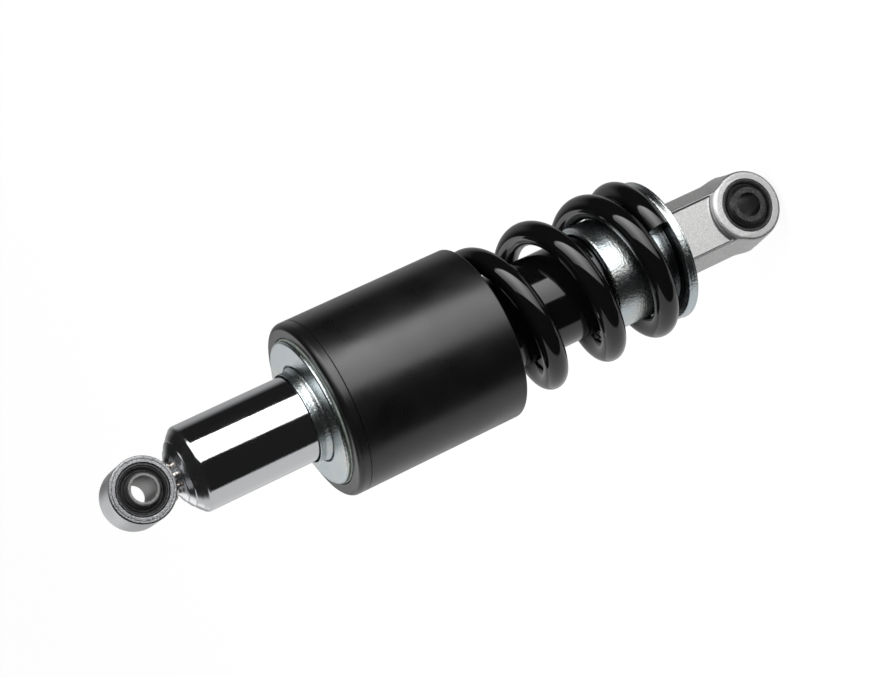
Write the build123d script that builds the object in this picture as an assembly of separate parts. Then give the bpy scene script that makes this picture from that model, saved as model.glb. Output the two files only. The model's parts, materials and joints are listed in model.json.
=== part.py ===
"""Motorcycle monoshock: a gas damper with its coil spring, seats, sleeve and two bushed eyes.

Frame: millimetres. The origin is the centre of the lower eye's bore. +Z runs up along the
damper's axis to the upper eye, and +X runs along both bores. The damper is at full length.
"""

import os
from math import cos, pi, radians, sin, sqrt

from build123d import *

# Clearances between pieces
round_fit = 0.03            # radial, between pieces that stay still on each other
running_fit = 0.05          # radial, between pieces that slide or turn on each other
stop_gap = 0.3              # axial, between the rebound stop and the seal head at full length
guide_gap = 0.8             # radial, dust tube round the damper body

# How near an edge must lie to the place it is looked for
edge_tolerance = 0.01

# Whole damper
eye_to_eye = 357.0
stroke = 65.0
bolt_bore_d = 12.4

# Lower eye: a cast rod end
boss_d = 37.6
boss_length = 22.0
boss_draft = 2.5            # how much the boss grows in radius from its front to its back
lower_bush_d = 28.6
lower_shell_wall = 1.2
lower_sleeve_d = 21.8
lower_sleeve_length = 25.4
neck_width = 42.6           # across the neck's back, where it is widest
neck_thickness = 19.0
panel_width = 26.0          # flat panel on the neck's front and back
panel_depth = 1.0
panel_rim = 1.0
cove_radius = 2.7           # hollow that leads from the panel up to the boss
cove_bend = 0.3             # where the hollow's middle lies, as a share of its width and depth
ridge_radius = 3.0          # along the two edges of the neck's back
pad_d = 42.0                # round pad under the spring seat
pad_height = 5.0
casting_top = 57.5

# Piston rod
rod_d = 14.0
rod_thread_d = 12.0
rod_thread_depth = 30.0     # how far the thread goes down into the casting
piston_stud_d = 10.0
stud_end = 2.5              # stud left standing above the piston nut
rod_chamfer = 1.0
rod_shoulder_gap = 1.0      # from the lock nut up to the rod's shoulder

# Lower spring seat, collar and dust tube
sheet = 2.5
seat_rim_depth = 5.2        # how far the rolled rim reaches below the spring's seat
seat_rim_radius = 2.0
seat_inset = 4.9            # how far the spring stands out past its upper seat
seat_flare = 0.7            # how much wider the lower seat is than the upper one
collar_wall = 2.0
collar_height = 38.0
collar_lip_radius = 3.2
collar_lip_land = 0.4       # flat left on top of the lip, inside its rounding
collar_lip_gap = 0.9        # radial, dust tube in the collar's mouth
dust_tube_wall = 2.1
dust_tube_base = 2.5
dust_tube_height = 122.0

# Lock nut and bump stop
stop_washer_height = 2.0
stop_washer_d = 38.0
lock_nut_flats = 19.0
lock_nut_height = 7.5
bump_stop_d = 34.0
bump_stop_height = 16.0
bump_stop_waist = 2.4
bump_stop_waist_share = 0.5  # height of the waist, as a share of the bump stop's
bump_stop_nose_share = 0.25  # height of the tapered nose, as a share of the bump stop's
nut_clearance = 0.6
nut_corner_share = 0.6      # how much of a nut's corner is turned off along its axis

# Coil spring
wire_d = 12.6
coil_gap = 0.4              # radial, between the collar and the spring
coil_turns = 6.35
flat_turns = 0.1            # turns at each end that lie flat on their seat
ramp_turns = 1.0            # turns over which the pitch then opens
tip_angle = 40.0            # where the lower tip lies about the axis, from +X
points_per_turn = 12

# Damper body
body_d = 45.0
body_wall = 2.25
body_bottom = 148.0
cone_height = 11.2          # of the closed end, up to the underside of the eye ring
shoulder_radius = 1.6
end_wall = 3.2
neck_d = 17.0
mouth_chamfer = 0.8

# Seal head and what it holds
head_gap = 4.5              # from the tube's mouth to the seal head
head_height = 23.0
head_groove_wire_d = 1.6
guide_bush_wall = 1.5
guide_bush_height = 12.0
head_lip = 2.0              # height of the seal head above its guide bush
oil_seal_d = 24.0
oil_seal_height = 6.0
oil_seal_lip = 1.2
o_ring_d = 2.6
o_ring_squeeze = 0.3
land_gap = 0.25             # radial gap of the seal head's upper land

# Piston
rebound_stop_height = 10.0
rebound_stop_d = 26.0
support_height = 1.6
support_d = 28.0
shim_height = 0.7
shim_count = 3
shim_d = 32.0
shim_step = 6.0
piston_height = 12.0
piston_gap = 0.5            # radial, between the piston's lands and the bore
piston_ring_height = 6.0
piston_ring_wall = 1.6
port_count = 6
port_d = 4.2
port_circle_d = 29.0
piston_nut_flats = 16.0
piston_nut_height = 7.5

# Floating piston
floating_gap = 2.0          # from the rod's stud to the floating piston at full stroke
floating_height = 14.0
floating_dish_depth = 5.0
floating_dish_wall = 4.5
floating_dish_slope = 2.0   # how much narrower the dish is at its floor, in radius

# Upper spring seat: retained by a wire ring in the body
upper_seat_height = 4.1
upper_seat_top = 263.9
seat_recess_gap = 0.5       # radial, round the stop ring in the seat's recess
seat_recess_depth = 2.2
seat_edge = 0.8
seat_wire_d = 1.6
stop_ring_foot = 2.4        # how far the ring's foot stands out from the damper body
stop_ring_lip = 0.4         # wall round the wire ring
stop_ring_hollow = 0.35     # how deep the flare is hollowed
stop_ring_height = 8.3
stop_ring_sill = 5.4        # height of the sill that the wire ring bears on
ring_gap_width = 9.6        # gap left open between the ends of a wire ring
isolator_proud = 1.2        # how far the isolator stands out past the seat
isolator_height = 1.9

# Sleeve over the spring
sleeve_gap = 1.4            # radial, round the spring
sleeve_wall = 2.4
sleeve_length = 97.5
sleeve_crown_drop = 1.3     # from the top of the upper seat down to the sleeve's crown
sleeve_corner = 8.7         # radius of the crown's outer corner, where the wall leaves room for it
sleeve_shelf = 2.5          # thickness of the shelf that the spring bears on
sleeve_shelf_gap = 5.5      # radial, from the damper body to the shelf's bore
sleeve_recess_gap = 0.4
sleeve_mouth_edge = 0.8
sleeve_crown_land = 0.3     # flat left between the corner and the recess

# Upper eye: a ring welded to the damper's end
ring_d = 33.0
ring_length = 28.4
ring_edge = 0.7
ring_inset = 0.5            # how far the upper bush's shell stays inside each face of the ring
upper_bush_d = 26.0
upper_shell_wall = 1.3
upper_sleeve_d = 15.9
upper_sleeve_length = 34.2
weld_leg = 2.8

# Bushes of both eyes
rubber_recess = 2.4         # how far the rubber's ring-shaped hollow goes in
rubber_land = 1.0
rubber_inset = 0.5          # how far the rubber stays inside each end of its shell
sleeve_edge = 0.5


def turned(*outline):
    """Solid turned about Z from its half outline, given as (radius, height) points."""
    face = make_face(Polyline(*[(r, 0, z) for r, z in outline], close=True))
    return revolve(face, Axis.Z)


def tube(outer_d, inner_d, bottom, top):
    """Plain tube about Z."""
    return turned((inner_d / 2, bottom), (outer_d / 2, bottom), (outer_d / 2, top), (inner_d / 2, top))


def cross_tube(outer_d, inner_d, length, height):
    """Plain tube along X, centred on the eye at that height."""
    ring = tube(outer_d, inner_d, -length / 2, length / 2)
    return Pos(0, 0, height) * Rot(0, 90, 0) * ring


def torus(ring_d_mid, wire, height):
    """Ring of round wire about Z."""
    return Pos(0, 0, height) * Torus(ring_d_mid / 2, wire / 2)


def hex_nut(flats, bore_d, bottom, height):
    """Hexagon nut about Z with its corners turned off on both faces."""
    corner_d = flats / cos(radians(30))
    blank = Pos(0, 0, bottom) * extrude(RegularPolygon(flats / 2, 6, major_radius=False), height)
    drop = (corner_d - flats) / 2 * nut_corner_share
    cone = turned(
        (bore_d / 2, bottom),
        (flats / 2, bottom),
        (corner_d / 2, bottom + drop),
        (corner_d / 2, bottom + height - drop),
        (flats / 2, bottom + height),
        (bore_d / 2, bottom + height),
    )
    return blank & cone


def edges_at(shape, height, radius):
    """Round edges about Z that lie at one height and radius."""
    circles = shape.edges().filter_by(GeomType.CIRCLE)
    level = circles.filter_by(lambda e: abs(e.center().Z - height) < edge_tolerance)
    return level.filter_by(lambda e: abs(e.radius - radius) < edge_tolerance)


# Heights that the stack of pieces gives
lower_seat_top = casting_top + sheet
collar_base_top = lower_seat_top + collar_wall
dust_base_top = collar_base_top + dust_tube_base
stop_washer_top = dust_base_top + stop_washer_height
lock_nut_top = stop_washer_top + lock_nut_height
rod_shoulder = lock_nut_top + rod_shoulder_gap
bump_stop_top = stop_washer_top + bump_stop_height

# Radii that the pieces round the damper body give one another
dust_tube_bore = body_d / 2 + guide_gap
dust_tube_r = dust_tube_bore + dust_tube_wall
collar_r = dust_tube_r + collar_lip_gap + collar_lip_radius
coil_r = collar_r + coil_gap + wire_d / 2
spring_outer_r = coil_r + wire_d / 2
seat_r = spring_outer_r - seat_inset
isolator_r = seat_r + isolator_proud
sleeve_bore = spring_outer_r + sleeve_gap
sleeve_r = sleeve_bore + sleeve_wall
stop_ring_r = body_d / 2 + stop_ring_foot
seat_recess_r = stop_ring_r + seat_recess_gap

body_bore_d = body_d - 2 * body_wall
head_bottom = body_bottom + head_gap
head_top = head_bottom + head_height
rebound_stop_bottom = head_top + stop_gap
support_bottom = rebound_stop_bottom + rebound_stop_height
support_top = support_bottom + support_height
piston_bottom = support_top + shim_count * shim_height
piston_top = piston_bottom + piston_height
nut_bottom = piston_top + shim_count * shim_height
rod_top = nut_bottom + piston_nut_height + stud_end
floating_bottom = rod_top + stroke + floating_gap
floating_top = floating_bottom + floating_height

upper_seat_bottom = upper_seat_top - upper_seat_height
isolator_bottom = upper_seat_bottom - isolator_height
shelf_bottom = isolator_bottom - sleeve_shelf
sleeve_crown = upper_seat_top - sleeve_crown_drop
sleeve_bottom = sleeve_crown - sleeve_length
recess_floor = upper_seat_top - seat_recess_depth
stop_ring_top = recess_floor + stop_ring_height
seat_wire_height = recess_floor + stop_ring_sill + seat_wire_d / 2

ring_bottom = eye_to_eye - ring_d / 2
body_shoulder = ring_bottom - cone_height
cone_slope = (body_d - neck_d) / 2 / cone_height

parts = {}


def bush_rubber(outer_d, inner_d, length, height):
    """Rubber of a bush along X, with a ring-shaped hollow in each face."""
    half = length / 2
    middle = (outer_d + inner_d) / 4
    outline = Polyline(
        (inner_d / 2, 0, -half),
        (inner_d / 2 + rubber_land, 0, -half),
    )
    lower = ThreePointArc(
        (inner_d / 2 + rubber_land, 0, -half),
        (middle, 0, -half + rubber_recess),
        (outer_d / 2 - rubber_land, 0, -half),
    )
    side = Polyline(
        (outer_d / 2 - rubber_land, 0, -half),
        (outer_d / 2, 0, -half),
        (outer_d / 2, 0, half),
        (outer_d / 2 - rubber_land, 0, half),
    )
    upper = ThreePointArc(
        (outer_d / 2 - rubber_land, 0, half),
        (middle, 0, half - rubber_recess),
        (inner_d / 2 + rubber_land, 0, half),
    )
    end = Polyline(
        (inner_d / 2 + rubber_land, 0, half),
        (inner_d / 2, 0, half),
        (inner_d / 2, 0, -half),
    )
    section = make_face(outline + lower + side + upper + end)
    return Pos(0, 0, height) * Rot(0, 90, 0) * revolve(section, Axis.Z)


def inner_sleeve(outer_d, length, height):
    """Steel sleeve of a bush along X, with its outer edges broken."""
    half = length / 2
    sleeve = turned(
        (bolt_bore_d / 2, -half),
        (outer_d / 2 - sleeve_edge, -half),
        (outer_d / 2, -half + sleeve_edge),
        (outer_d / 2, half - sleeve_edge),
        (outer_d / 2 - sleeve_edge, half),
        (bolt_bore_d / 2, half),
    )
    return Pos(0, 0, height) * Rot(0, 90, 0) * sleeve


def bush(name, outer_d, shell_wall, sleeve_d_out, shell_length, inner_length, height):
    """The three pieces of a bonded bush in an eye."""
    shell_d = outer_d - 2 * round_fit
    rubber_d = outer_d - 2 * shell_wall
    parts[name + "_bush_shell"] = cross_tube(shell_d, rubber_d, shell_length, height)
    rubber_outer = rubber_d - 2 * round_fit
    rubber_inner = sleeve_d_out + 2 * running_fit
    rubber_length = shell_length - 2 * rubber_inset
    parts[name + "_bush_rubber"] = bush_rubber(rubber_outer, rubber_inner, rubber_length, height)
    parts[name + "_inner_sleeve"] = inner_sleeve(sleeve_d_out, inner_length, height)


def rod_end_casting():
    """Aluminium rod end: drafted boss, drafted neck with sunk panels, and a round pad."""
    boss_r = boss_d / 2
    back_r = boss_r + boss_draft
    half = boss_length / 2
    along_x = Rot(0, 90, 0)
    boss = along_x * turned((0, -half), (back_r, -half), (boss_r, half), (0, half))

    x = neck_thickness / 2
    y = panel_width / 2 + panel_rim
    w = neck_width / 2
    outline = make_face(Polyline((x, -y), (x, y), (-x, w), (-x, -w), close=True))
    ridges = outline.vertices().filter_by(lambda v: v.X < 0)
    reach = casting_top - pad_height
    neck = extrude(fillet(ridges, ridge_radius), reach)
    panel = Pos(0, 0, reach / 2) * Box(panel_depth, panel_width, reach)
    floor = x - panel_depth
    for side in (1, -1):
        neck -= Pos(side * (x - panel_depth / 2), 0, 0) * panel

    rise = (half - floor) * cove_bend
    front = (boss_r + cove_radius, 0, floor)
    back = (back_r + cove_radius, 0, -floor)
    front_bend = (boss_r + cove_radius * cove_bend, 0, floor + rise)
    back_bend = (back_r + cove_radius * cove_bend, 0, -floor - rise)
    inner = boss_r - cove_radius
    section = Polyline(back, front) + ThreePointArc(front, front_bend, (boss_r, 0, half))
    section += Polyline((boss_r, 0, half), (inner, 0, half), (inner, 0, -half), (back_r, 0, -half))
    section += ThreePointArc((back_r, 0, -half), back_bend, back)
    cove = along_x * revolve(make_face(section), Axis.Z)
    cove &= Pos(0, 0, boss_d / 2) * Box(boss_length, panel_width, boss_d)

    pad = turned((0, reach), (pad_d / 2, reach), (pad_d / 2, casting_top), (0, casting_top))
    body = boss + neck + cove + pad
    body -= along_x * Cylinder(lower_bush_d / 2, boss_d)
    hole_r = rod_thread_d / 2 + round_fit
    body -= Pos(0, 0, casting_top - rod_thread_depth / 2) * Cylinder(hole_r, rod_thread_depth)
    return body


def lower_end():
    """Rod end, its bush, the rod's lower nut, the bump stop, and the seat, collar and dust tube."""
    parts["rod_end_casting"] = rod_end_casting()
    bush("lower", lower_bush_d, lower_shell_wall, lower_sleeve_d, boss_length, lower_sleeve_length, 0)

    hole = rod_thread_d / 2 + round_fit
    rim = seat_r + seat_flare
    seat = turned(
        (hole, casting_top),
        (rim - sheet, casting_top),
        (rim - sheet, lower_seat_top - seat_rim_depth),
        (rim, lower_seat_top - seat_rim_depth),
        (rim, lower_seat_top),
        (hole, lower_seat_top),
    )
    parts["lower_spring_seat"] = fillet(edges_at(seat, lower_seat_top, rim), seat_rim_radius)

    outer = collar_r
    collar_top = lower_seat_top + collar_height
    lip = collar_top - collar_lip_radius
    collar = turned(
        (hole, lower_seat_top),
        (outer, lower_seat_top),
        (outer, collar_top),
        (outer - collar_lip_radius, collar_top),
        (outer - collar_lip_radius, lip),
        (outer - collar_wall, lip),
        (outer - collar_wall, collar_base_top),
        (hole, collar_base_top),
    )
    parts["seat_collar"] = fillet(edges_at(collar, collar_top, outer), collar_lip_radius - collar_lip_land)

    tube_top = collar_base_top + dust_tube_height
    parts["dust_tube"] = turned(
        (hole, collar_base_top),
        (dust_tube_r, collar_base_top),
        (dust_tube_r, tube_top),
        (dust_tube_bore, tube_top),
        (dust_tube_bore, dust_base_top),
        (hole, dust_base_top),
    )
    parts["bump_stop_washer"] = tube(stop_washer_d, 2 * hole, dust_base_top, stop_washer_top)
    parts["lock_nut"] = hex_nut(lock_nut_flats, 2 * hole, stop_washer_top, lock_nut_height)

    nut_r = lock_nut_flats / 2 / cos(radians(30)) + nut_clearance
    nose_r = rod_d / 2 + running_fit
    edge = bump_stop_d / 2
    waist = stop_washer_top + bump_stop_height * bump_stop_waist_share
    crown = bump_stop_top - bump_stop_height * bump_stop_nose_share
    parts["bump_stop"] = turned(
        (nut_r, stop_washer_top),
        (edge, stop_washer_top),
        (edge, waist - bump_stop_waist),
        (edge - bump_stop_waist, waist),
        (edge, waist + bump_stop_waist),
        (edge, crown),
        (edge - bump_stop_waist * 2, bump_stop_top),
        (nose_r, bump_stop_top),
        (nose_r, rod_shoulder + nut_clearance),
        (nut_r, rod_shoulder + nut_clearance),
    )


def rod_and_piston():
    """Piston rod with its rebound stop, shims, piston, piston ring and nut."""
    rod_r = rod_d / 2
    thread_r = rod_thread_d / 2
    stud_r = piston_stud_d / 2
    foot = casting_top - rod_thread_depth + rod_chamfer
    parts["piston_rod"] = turned(
        (0, foot),
        (thread_r - rod_chamfer, foot),
        (thread_r, foot + rod_chamfer),
        (thread_r, rod_shoulder),
        (rod_r, rod_shoulder),
        (rod_r, support_bottom),
        (stud_r, support_bottom),
        (stud_r, rod_top - rod_chamfer),
        (stud_r - rod_chamfer, rod_top),
        (0, rod_top),
    )
    stop_bore_d = rod_d + 2 * round_fit
    parts["rebound_stop"] = tube(rebound_stop_d, stop_bore_d, rebound_stop_bottom, support_bottom)
    stud_hole_d = piston_stud_d + 2 * round_fit
    parts["support_washer"] = tube(support_d, stud_hole_d, support_bottom, support_top)

    lower_stack = []
    upper_stack = []
    for i in range(shim_count):
        wide = shim_d - (shim_count - 1 - i) * shim_step
        low = support_top + i * shim_height
        lower_stack.append(tube(wide, stud_hole_d, low, low + shim_height))
        high = nut_bottom - (i + 1) * shim_height
        upper_stack.append(tube(wide, stud_hole_d, high, high + shim_height))
    parts["compression_shims"] = Compound(children=lower_stack)
    parts["rebound_shims"] = Compound(children=upper_stack)

    bore_r = body_bore_d / 2
    land_r = bore_r - piston_gap
    ring_low = (piston_bottom + piston_top - piston_ring_height) / 2
    ring_high = ring_low + piston_ring_height
    ring_r = bore_r - running_fit
    groove_r = ring_r - piston_ring_wall - round_fit
    piston = turned(
        (stud_hole_d / 2, piston_bottom),
        (land_r, piston_bottom),
        (land_r, ring_low),
        (groove_r, ring_low),
        (groove_r, ring_high),
        (land_r, ring_high),
        (land_r, piston_top),
        (stud_hole_d / 2, piston_top),
    )
    middle = (piston_bottom + piston_top) / 2
    for place in PolarLocations(port_circle_d / 2, port_count):
        piston -= Pos(0, 0, middle) * place * Cylinder(port_d / 2, piston_height)
    parts["piston"] = piston
    parts["piston_ring"] = tube(2 * ring_r, 2 * (ring_r - piston_ring_wall), ring_low, ring_high)
    parts["piston_nut"] = hex_nut(piston_nut_flats, stud_hole_d, nut_bottom, piston_nut_height)


def coil_height(turn, pitch, turns):
    """Height of the wire's centre above the lower tip, after that many turns."""
    def climbed(t):
        if t <= flat_turns:
            return 0.0
        if t <= flat_turns + ramp_turns:
            return (t - flat_turns) ** 2 / (2 * ramp_turns)
        return t - flat_turns - ramp_turns / 2
    half = turns / 2
    if turn <= half:
        return pitch * climbed(turn)
    return pitch * (2 * climbed(half) - climbed(turns - turn))


def coil_spring():
    """Coil spring of round wire: flat at both ends, right-handed, one even pitch between them."""
    low = lower_seat_top + wire_d / 2
    high = shelf_bottom - wire_d / 2
    pitch = (high - low) / (coil_turns - 2 * flat_turns - ramp_turns)
    steps = round(coil_turns * points_per_turn)
    points = []
    for i in range(steps + 1):
        turn = coil_turns * i / steps
        angle = radians(tip_angle) + 2 * pi * turn
        height = low + coil_height(turn, pitch, coil_turns)
        points.append((coil_r * cos(angle), coil_r * sin(angle), height))
    path = Spline(*points)
    section = Plane(origin=path @ 0, z_dir=path % 0) * Circle(wire_d / 2)
    wire = sweep(section, path=path, is_frenet=True)
    length = path.length
    print("spring: volume over section times length", wire.volume / (length * pi * wire_d ** 2 / 4))
    return wire


def damper():
    """Damper body with its closed end, and the seal head with all that it holds."""
    outer = body_d / 2
    bore = body_bore_d / 2
    wire = head_groove_wire_d
    groove_low = head_bottom - wire
    inner_shoulder = body_shoulder - end_wall
    inner_end = ring_bottom - 2 * end_wall
    inner_r = neck_d / 2 - end_wall
    body = turned(
        (bore, body_bottom),
        (outer - mouth_chamfer, body_bottom),
        (outer, body_bottom + mouth_chamfer),
        (outer, seat_wire_height - seat_wire_d / 2),
        (outer - seat_wire_d / 2, seat_wire_height - seat_wire_d / 2),
        (outer - seat_wire_d / 2, seat_wire_height + seat_wire_d / 2),
        (outer, seat_wire_height + seat_wire_d / 2),
        (outer, body_shoulder),
        (neck_d / 2, ring_bottom),
        (neck_d / 2, eye_to_eye),
        (0, eye_to_eye),
        (0, inner_end),
        (inner_r, inner_end),
        (bore, inner_shoulder),
        (bore, head_bottom),
        (bore + wire / 2, head_bottom),
        (bore + wire / 2, groove_low),
        (bore, groove_low),
    )
    body = fillet(edges_at(body, body_shoulder, outer), shoulder_radius)
    around_ring = Pos(0, 0, eye_to_eye) * Rot(0, 90, 0) * Cylinder(ring_d / 2 + round_fit, body_d)
    above = Pos(0, 0, eye_to_eye + body_d / 2) * Box(body_d, body_d, body_d)
    parts["damper_body"] = body - around_ring - above

    rod_hole = rod_d / 2 + running_fit
    bush_r = rod_hole + guide_bush_wall
    land = bore - round_fit
    seal_r = oil_seal_d / 2
    seal_top = head_bottom + oil_seal_height
    bush_top = head_top - head_lip
    bush_low = bush_top - guide_bush_height
    ring_low = bush_low + (guide_bush_height - o_ring_d) / 2
    ring_high = ring_low + o_ring_d
    groove_r = bore - o_ring_d + o_ring_squeeze
    parts["seal_head"] = turned(
        (seal_r + round_fit, head_bottom),
        (land, head_bottom),
        (land, ring_low),
        (groove_r, ring_low),
        (groove_r, ring_high),
        (land, ring_high),
        (land, bush_top),
        (land - land_gap, head_top),
        (rod_hole + land_gap, head_top),
        (rod_hole + land_gap, bush_top),
        (bush_r + round_fit, bush_top),
        (bush_r + round_fit, bush_low),
        (rod_hole + land_gap, bush_low),
        (rod_hole + land_gap, seal_top),
        (seal_r + round_fit, seal_top),
    )
    parts["guide_bush"] = tube(2 * bush_r, 2 * rod_hole, bush_low, bush_top)
    parts["oil_seal"] = turned(
        (rod_hole, head_bottom),
        (seal_r, head_bottom),
        (seal_r, seal_top),
        (rod_hole + 2 * oil_seal_lip, seal_top),
        (rod_hole + oil_seal_lip, seal_top - oil_seal_lip),
        (rod_hole, seal_top - oil_seal_lip),
    )
    section = o_ring_d - o_ring_squeeze - 2 * round_fit
    ring_mid = 2 * (bore - round_fit) - section
    parts["head_o_ring"] = torus(ring_mid, section, (ring_low + ring_high) / 2)
    clip = torus(body_bore_d, wire - 2 * round_fit, head_bottom - wire / 2)
    opening = Pos(-bore, 0, head_bottom - wire / 2) * Box(body_d / 2, ring_gap_width, 2 * wire)
    parts["head_circlip"] = clip - opening


def gas_piston():
    """Floating piston, dished on its gas side, with its sealing ring."""
    bore = body_bore_d / 2
    land = bore - running_fit
    middle = (floating_bottom + floating_top) / 2
    groove_r = bore - o_ring_d + o_ring_squeeze
    dish = land - floating_dish_wall
    parts["floating_piston"] = turned(
        (0, floating_bottom),
        (land - mouth_chamfer, floating_bottom),
        (land, floating_bottom + mouth_chamfer),
        (land, middle - o_ring_d / 2),
        (groove_r, middle - o_ring_d / 2),
        (groove_r, middle + o_ring_d / 2),
        (land, middle + o_ring_d / 2),
        (land, floating_top),
        (dish, floating_top),
        (dish - floating_dish_slope, floating_top - floating_dish_depth),
        (0, floating_top - floating_dish_depth),
    )
    section = o_ring_d - o_ring_squeeze - 2 * running_fit
    parts["floating_piston_o_ring"] = torus(2 * (bore - running_fit) - section, section, middle)


def upper_seat():
    """Wire ring in the body's groove, stop ring, seat washer, isolator and the sleeve."""
    outer = body_d / 2
    hole = outer + round_fit
    wire = seat_wire_d - 2 * round_fit
    clip = torus(body_d, wire, seat_wire_height)
    opening = Pos(-outer, 0, seat_wire_height) * Box(body_d / 2, ring_gap_width, 2 * wire)
    parts["seat_wire_ring"] = clip - opening

    pocket = outer + seat_wire_d / 2 + round_fit
    top = pocket + stop_ring_lip
    sill = recess_floor + stop_ring_sill
    step = (recess_floor + sill) / 2
    bend_r = (stop_ring_r + top) / 2 - stop_ring_hollow
    bend_z = (step + stop_ring_top) / 2 - stop_ring_hollow
    lines = Polyline(
        (top, 0, stop_ring_top),
        (pocket, 0, stop_ring_top),
        (pocket, 0, sill),
        (hole, 0, sill),
        (hole, 0, recess_floor),
        (stop_ring_r, 0, recess_floor),
        (stop_ring_r, 0, step),
    )
    curve = ThreePointArc((stop_ring_r, 0, step), (bend_r, 0, bend_z), (top, 0, stop_ring_top))
    parts["stop_ring"] = revolve(make_face(lines + curve), Axis.Z)

    washer = turned(
        (hole, upper_seat_bottom),
        (seat_r, upper_seat_bottom),
        (seat_r, upper_seat_top),
        (seat_recess_r, upper_seat_top),
        (seat_recess_r, recess_floor),
        (hole, recess_floor),
    )
    edges = edges_at(washer, upper_seat_top, seat_r) + edges_at(washer, upper_seat_bottom, seat_r)
    parts["upper_spring_seat"] = fillet(edges, seat_edge)
    parts["isolator_ring"] = tube(2 * isolator_r, 2 * hole, isolator_bottom, upper_seat_bottom)
    parts["spring_sleeve"] = spring_sleeve()


def spring_sleeve():
    """Plastic sleeve over the spring, hung from its shelf between the spring and the isolator."""
    recess = isolator_r + sleeve_recess_gap
    shelf = body_d / 2 + sleeve_shelf_gap
    body = turned(
        (sleeve_bore, sleeve_bottom),
        (sleeve_r, sleeve_bottom),
        (sleeve_r, sleeve_crown),
        (recess, sleeve_crown),
        (recess, isolator_bottom),
        (shelf, isolator_bottom),
        (shelf, shelf_bottom),
        (sleeve_bore, shelf_bottom),
    )
    corner = min(sleeve_corner, sleeve_r - recess - sleeve_crown_land)
    body = fillet(edges_at(body, sleeve_crown, sleeve_r), corner)
    return chamfer(edges_at(body, sleeve_bottom, sleeve_r), sleeve_mouth_edge)


def upper_end():
    """Eye ring with its weld, and the bush in it."""
    blank = cross_tube(ring_d, upper_bush_d, ring_length, eye_to_eye)
    circles = blank.edges().filter_by(GeomType.CIRCLE)
    rims = circles.filter_by(lambda e: abs(e.radius - ring_d / 2) < edge_tolerance)
    parts["upper_eye_ring"] = chamfer(rims, ring_edge)
    foot_r = neck_d / 2 + weld_leg
    foot = body_shoulder + (body_d / 2 - foot_r) / cone_slope
    height = sqrt(ring_d ** 2 - foot_r ** 2 * 4) / 2
    bead_top = eye_to_eye - height
    bead = turned(
        (neck_d / 2, ring_bottom),
        (foot_r, foot),
        (foot_r + weld_leg / 3, (foot + bead_top) / 2),
        (foot_r, bead_top),
        (neck_d / 2, bead_top),
    )
    around_ring = Pos(0, 0, eye_to_eye) * Rot(0, 90, 0) * Cylinder(ring_d / 2 + round_fit, body_d)
    bead -= around_ring
    bead -= parts["damper_body"]
    parts["eye_weld"] = bead
    shell = ring_length - 2 * ring_inset
    bush("upper", upper_bush_d, upper_shell_wall, upper_sleeve_d, shell, upper_sleeve_length, eye_to_eye)


lower_end()
rod_and_piston()
parts["coil_spring"] = coil_spring()
damper()
gas_piston()
upper_seat()
upper_end()

os.makedirs("parts", exist_ok=True)
for name, shape in parts.items():
    shape.label = name
    export_step(shape, "parts/" + name + ".step")
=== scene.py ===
"""Motorcycle monoshock: the visual model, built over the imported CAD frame.

The row frame is in metres. The origin is the centre of the lower eye's bore, +Z runs up the
damper's axis and +X runs along both bores. Sizes in this file are in millimetres.
"""

import json
import logging
import math
from dataclasses import dataclass, field
from enum import Enum
from typing import ClassVar

import bpy
import numpy as np
from mathutils import Matrix, Vector

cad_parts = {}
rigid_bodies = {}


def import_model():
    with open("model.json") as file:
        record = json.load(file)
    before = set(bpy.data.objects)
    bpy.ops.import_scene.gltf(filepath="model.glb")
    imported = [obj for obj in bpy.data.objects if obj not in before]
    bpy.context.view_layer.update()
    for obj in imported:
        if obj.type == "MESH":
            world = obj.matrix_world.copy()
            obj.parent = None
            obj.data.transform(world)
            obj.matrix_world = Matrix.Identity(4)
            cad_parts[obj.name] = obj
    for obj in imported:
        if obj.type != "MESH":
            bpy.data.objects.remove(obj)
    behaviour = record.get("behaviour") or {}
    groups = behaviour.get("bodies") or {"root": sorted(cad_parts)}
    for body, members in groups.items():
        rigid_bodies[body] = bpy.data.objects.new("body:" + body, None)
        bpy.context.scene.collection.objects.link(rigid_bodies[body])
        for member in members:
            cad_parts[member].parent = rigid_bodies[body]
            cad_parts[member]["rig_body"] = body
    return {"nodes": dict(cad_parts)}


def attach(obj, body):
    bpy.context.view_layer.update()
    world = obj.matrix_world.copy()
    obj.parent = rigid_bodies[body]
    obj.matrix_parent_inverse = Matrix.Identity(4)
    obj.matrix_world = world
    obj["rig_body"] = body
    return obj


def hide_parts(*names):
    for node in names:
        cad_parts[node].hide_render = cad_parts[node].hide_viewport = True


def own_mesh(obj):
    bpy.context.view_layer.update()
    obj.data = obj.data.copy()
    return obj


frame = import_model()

MM = 0.001
log = logging.getLogger("monoshock")

Operand = "Value | float"
Colour = tuple[float, float, float]

FINE = 192  # facets round the larger turned pieces
ON_AXIS = 1e-6  # a radius below this lies on the axis
NO_LENGTH = 1e-7  # an edge below this is left out


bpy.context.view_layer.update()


# Shapes


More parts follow.
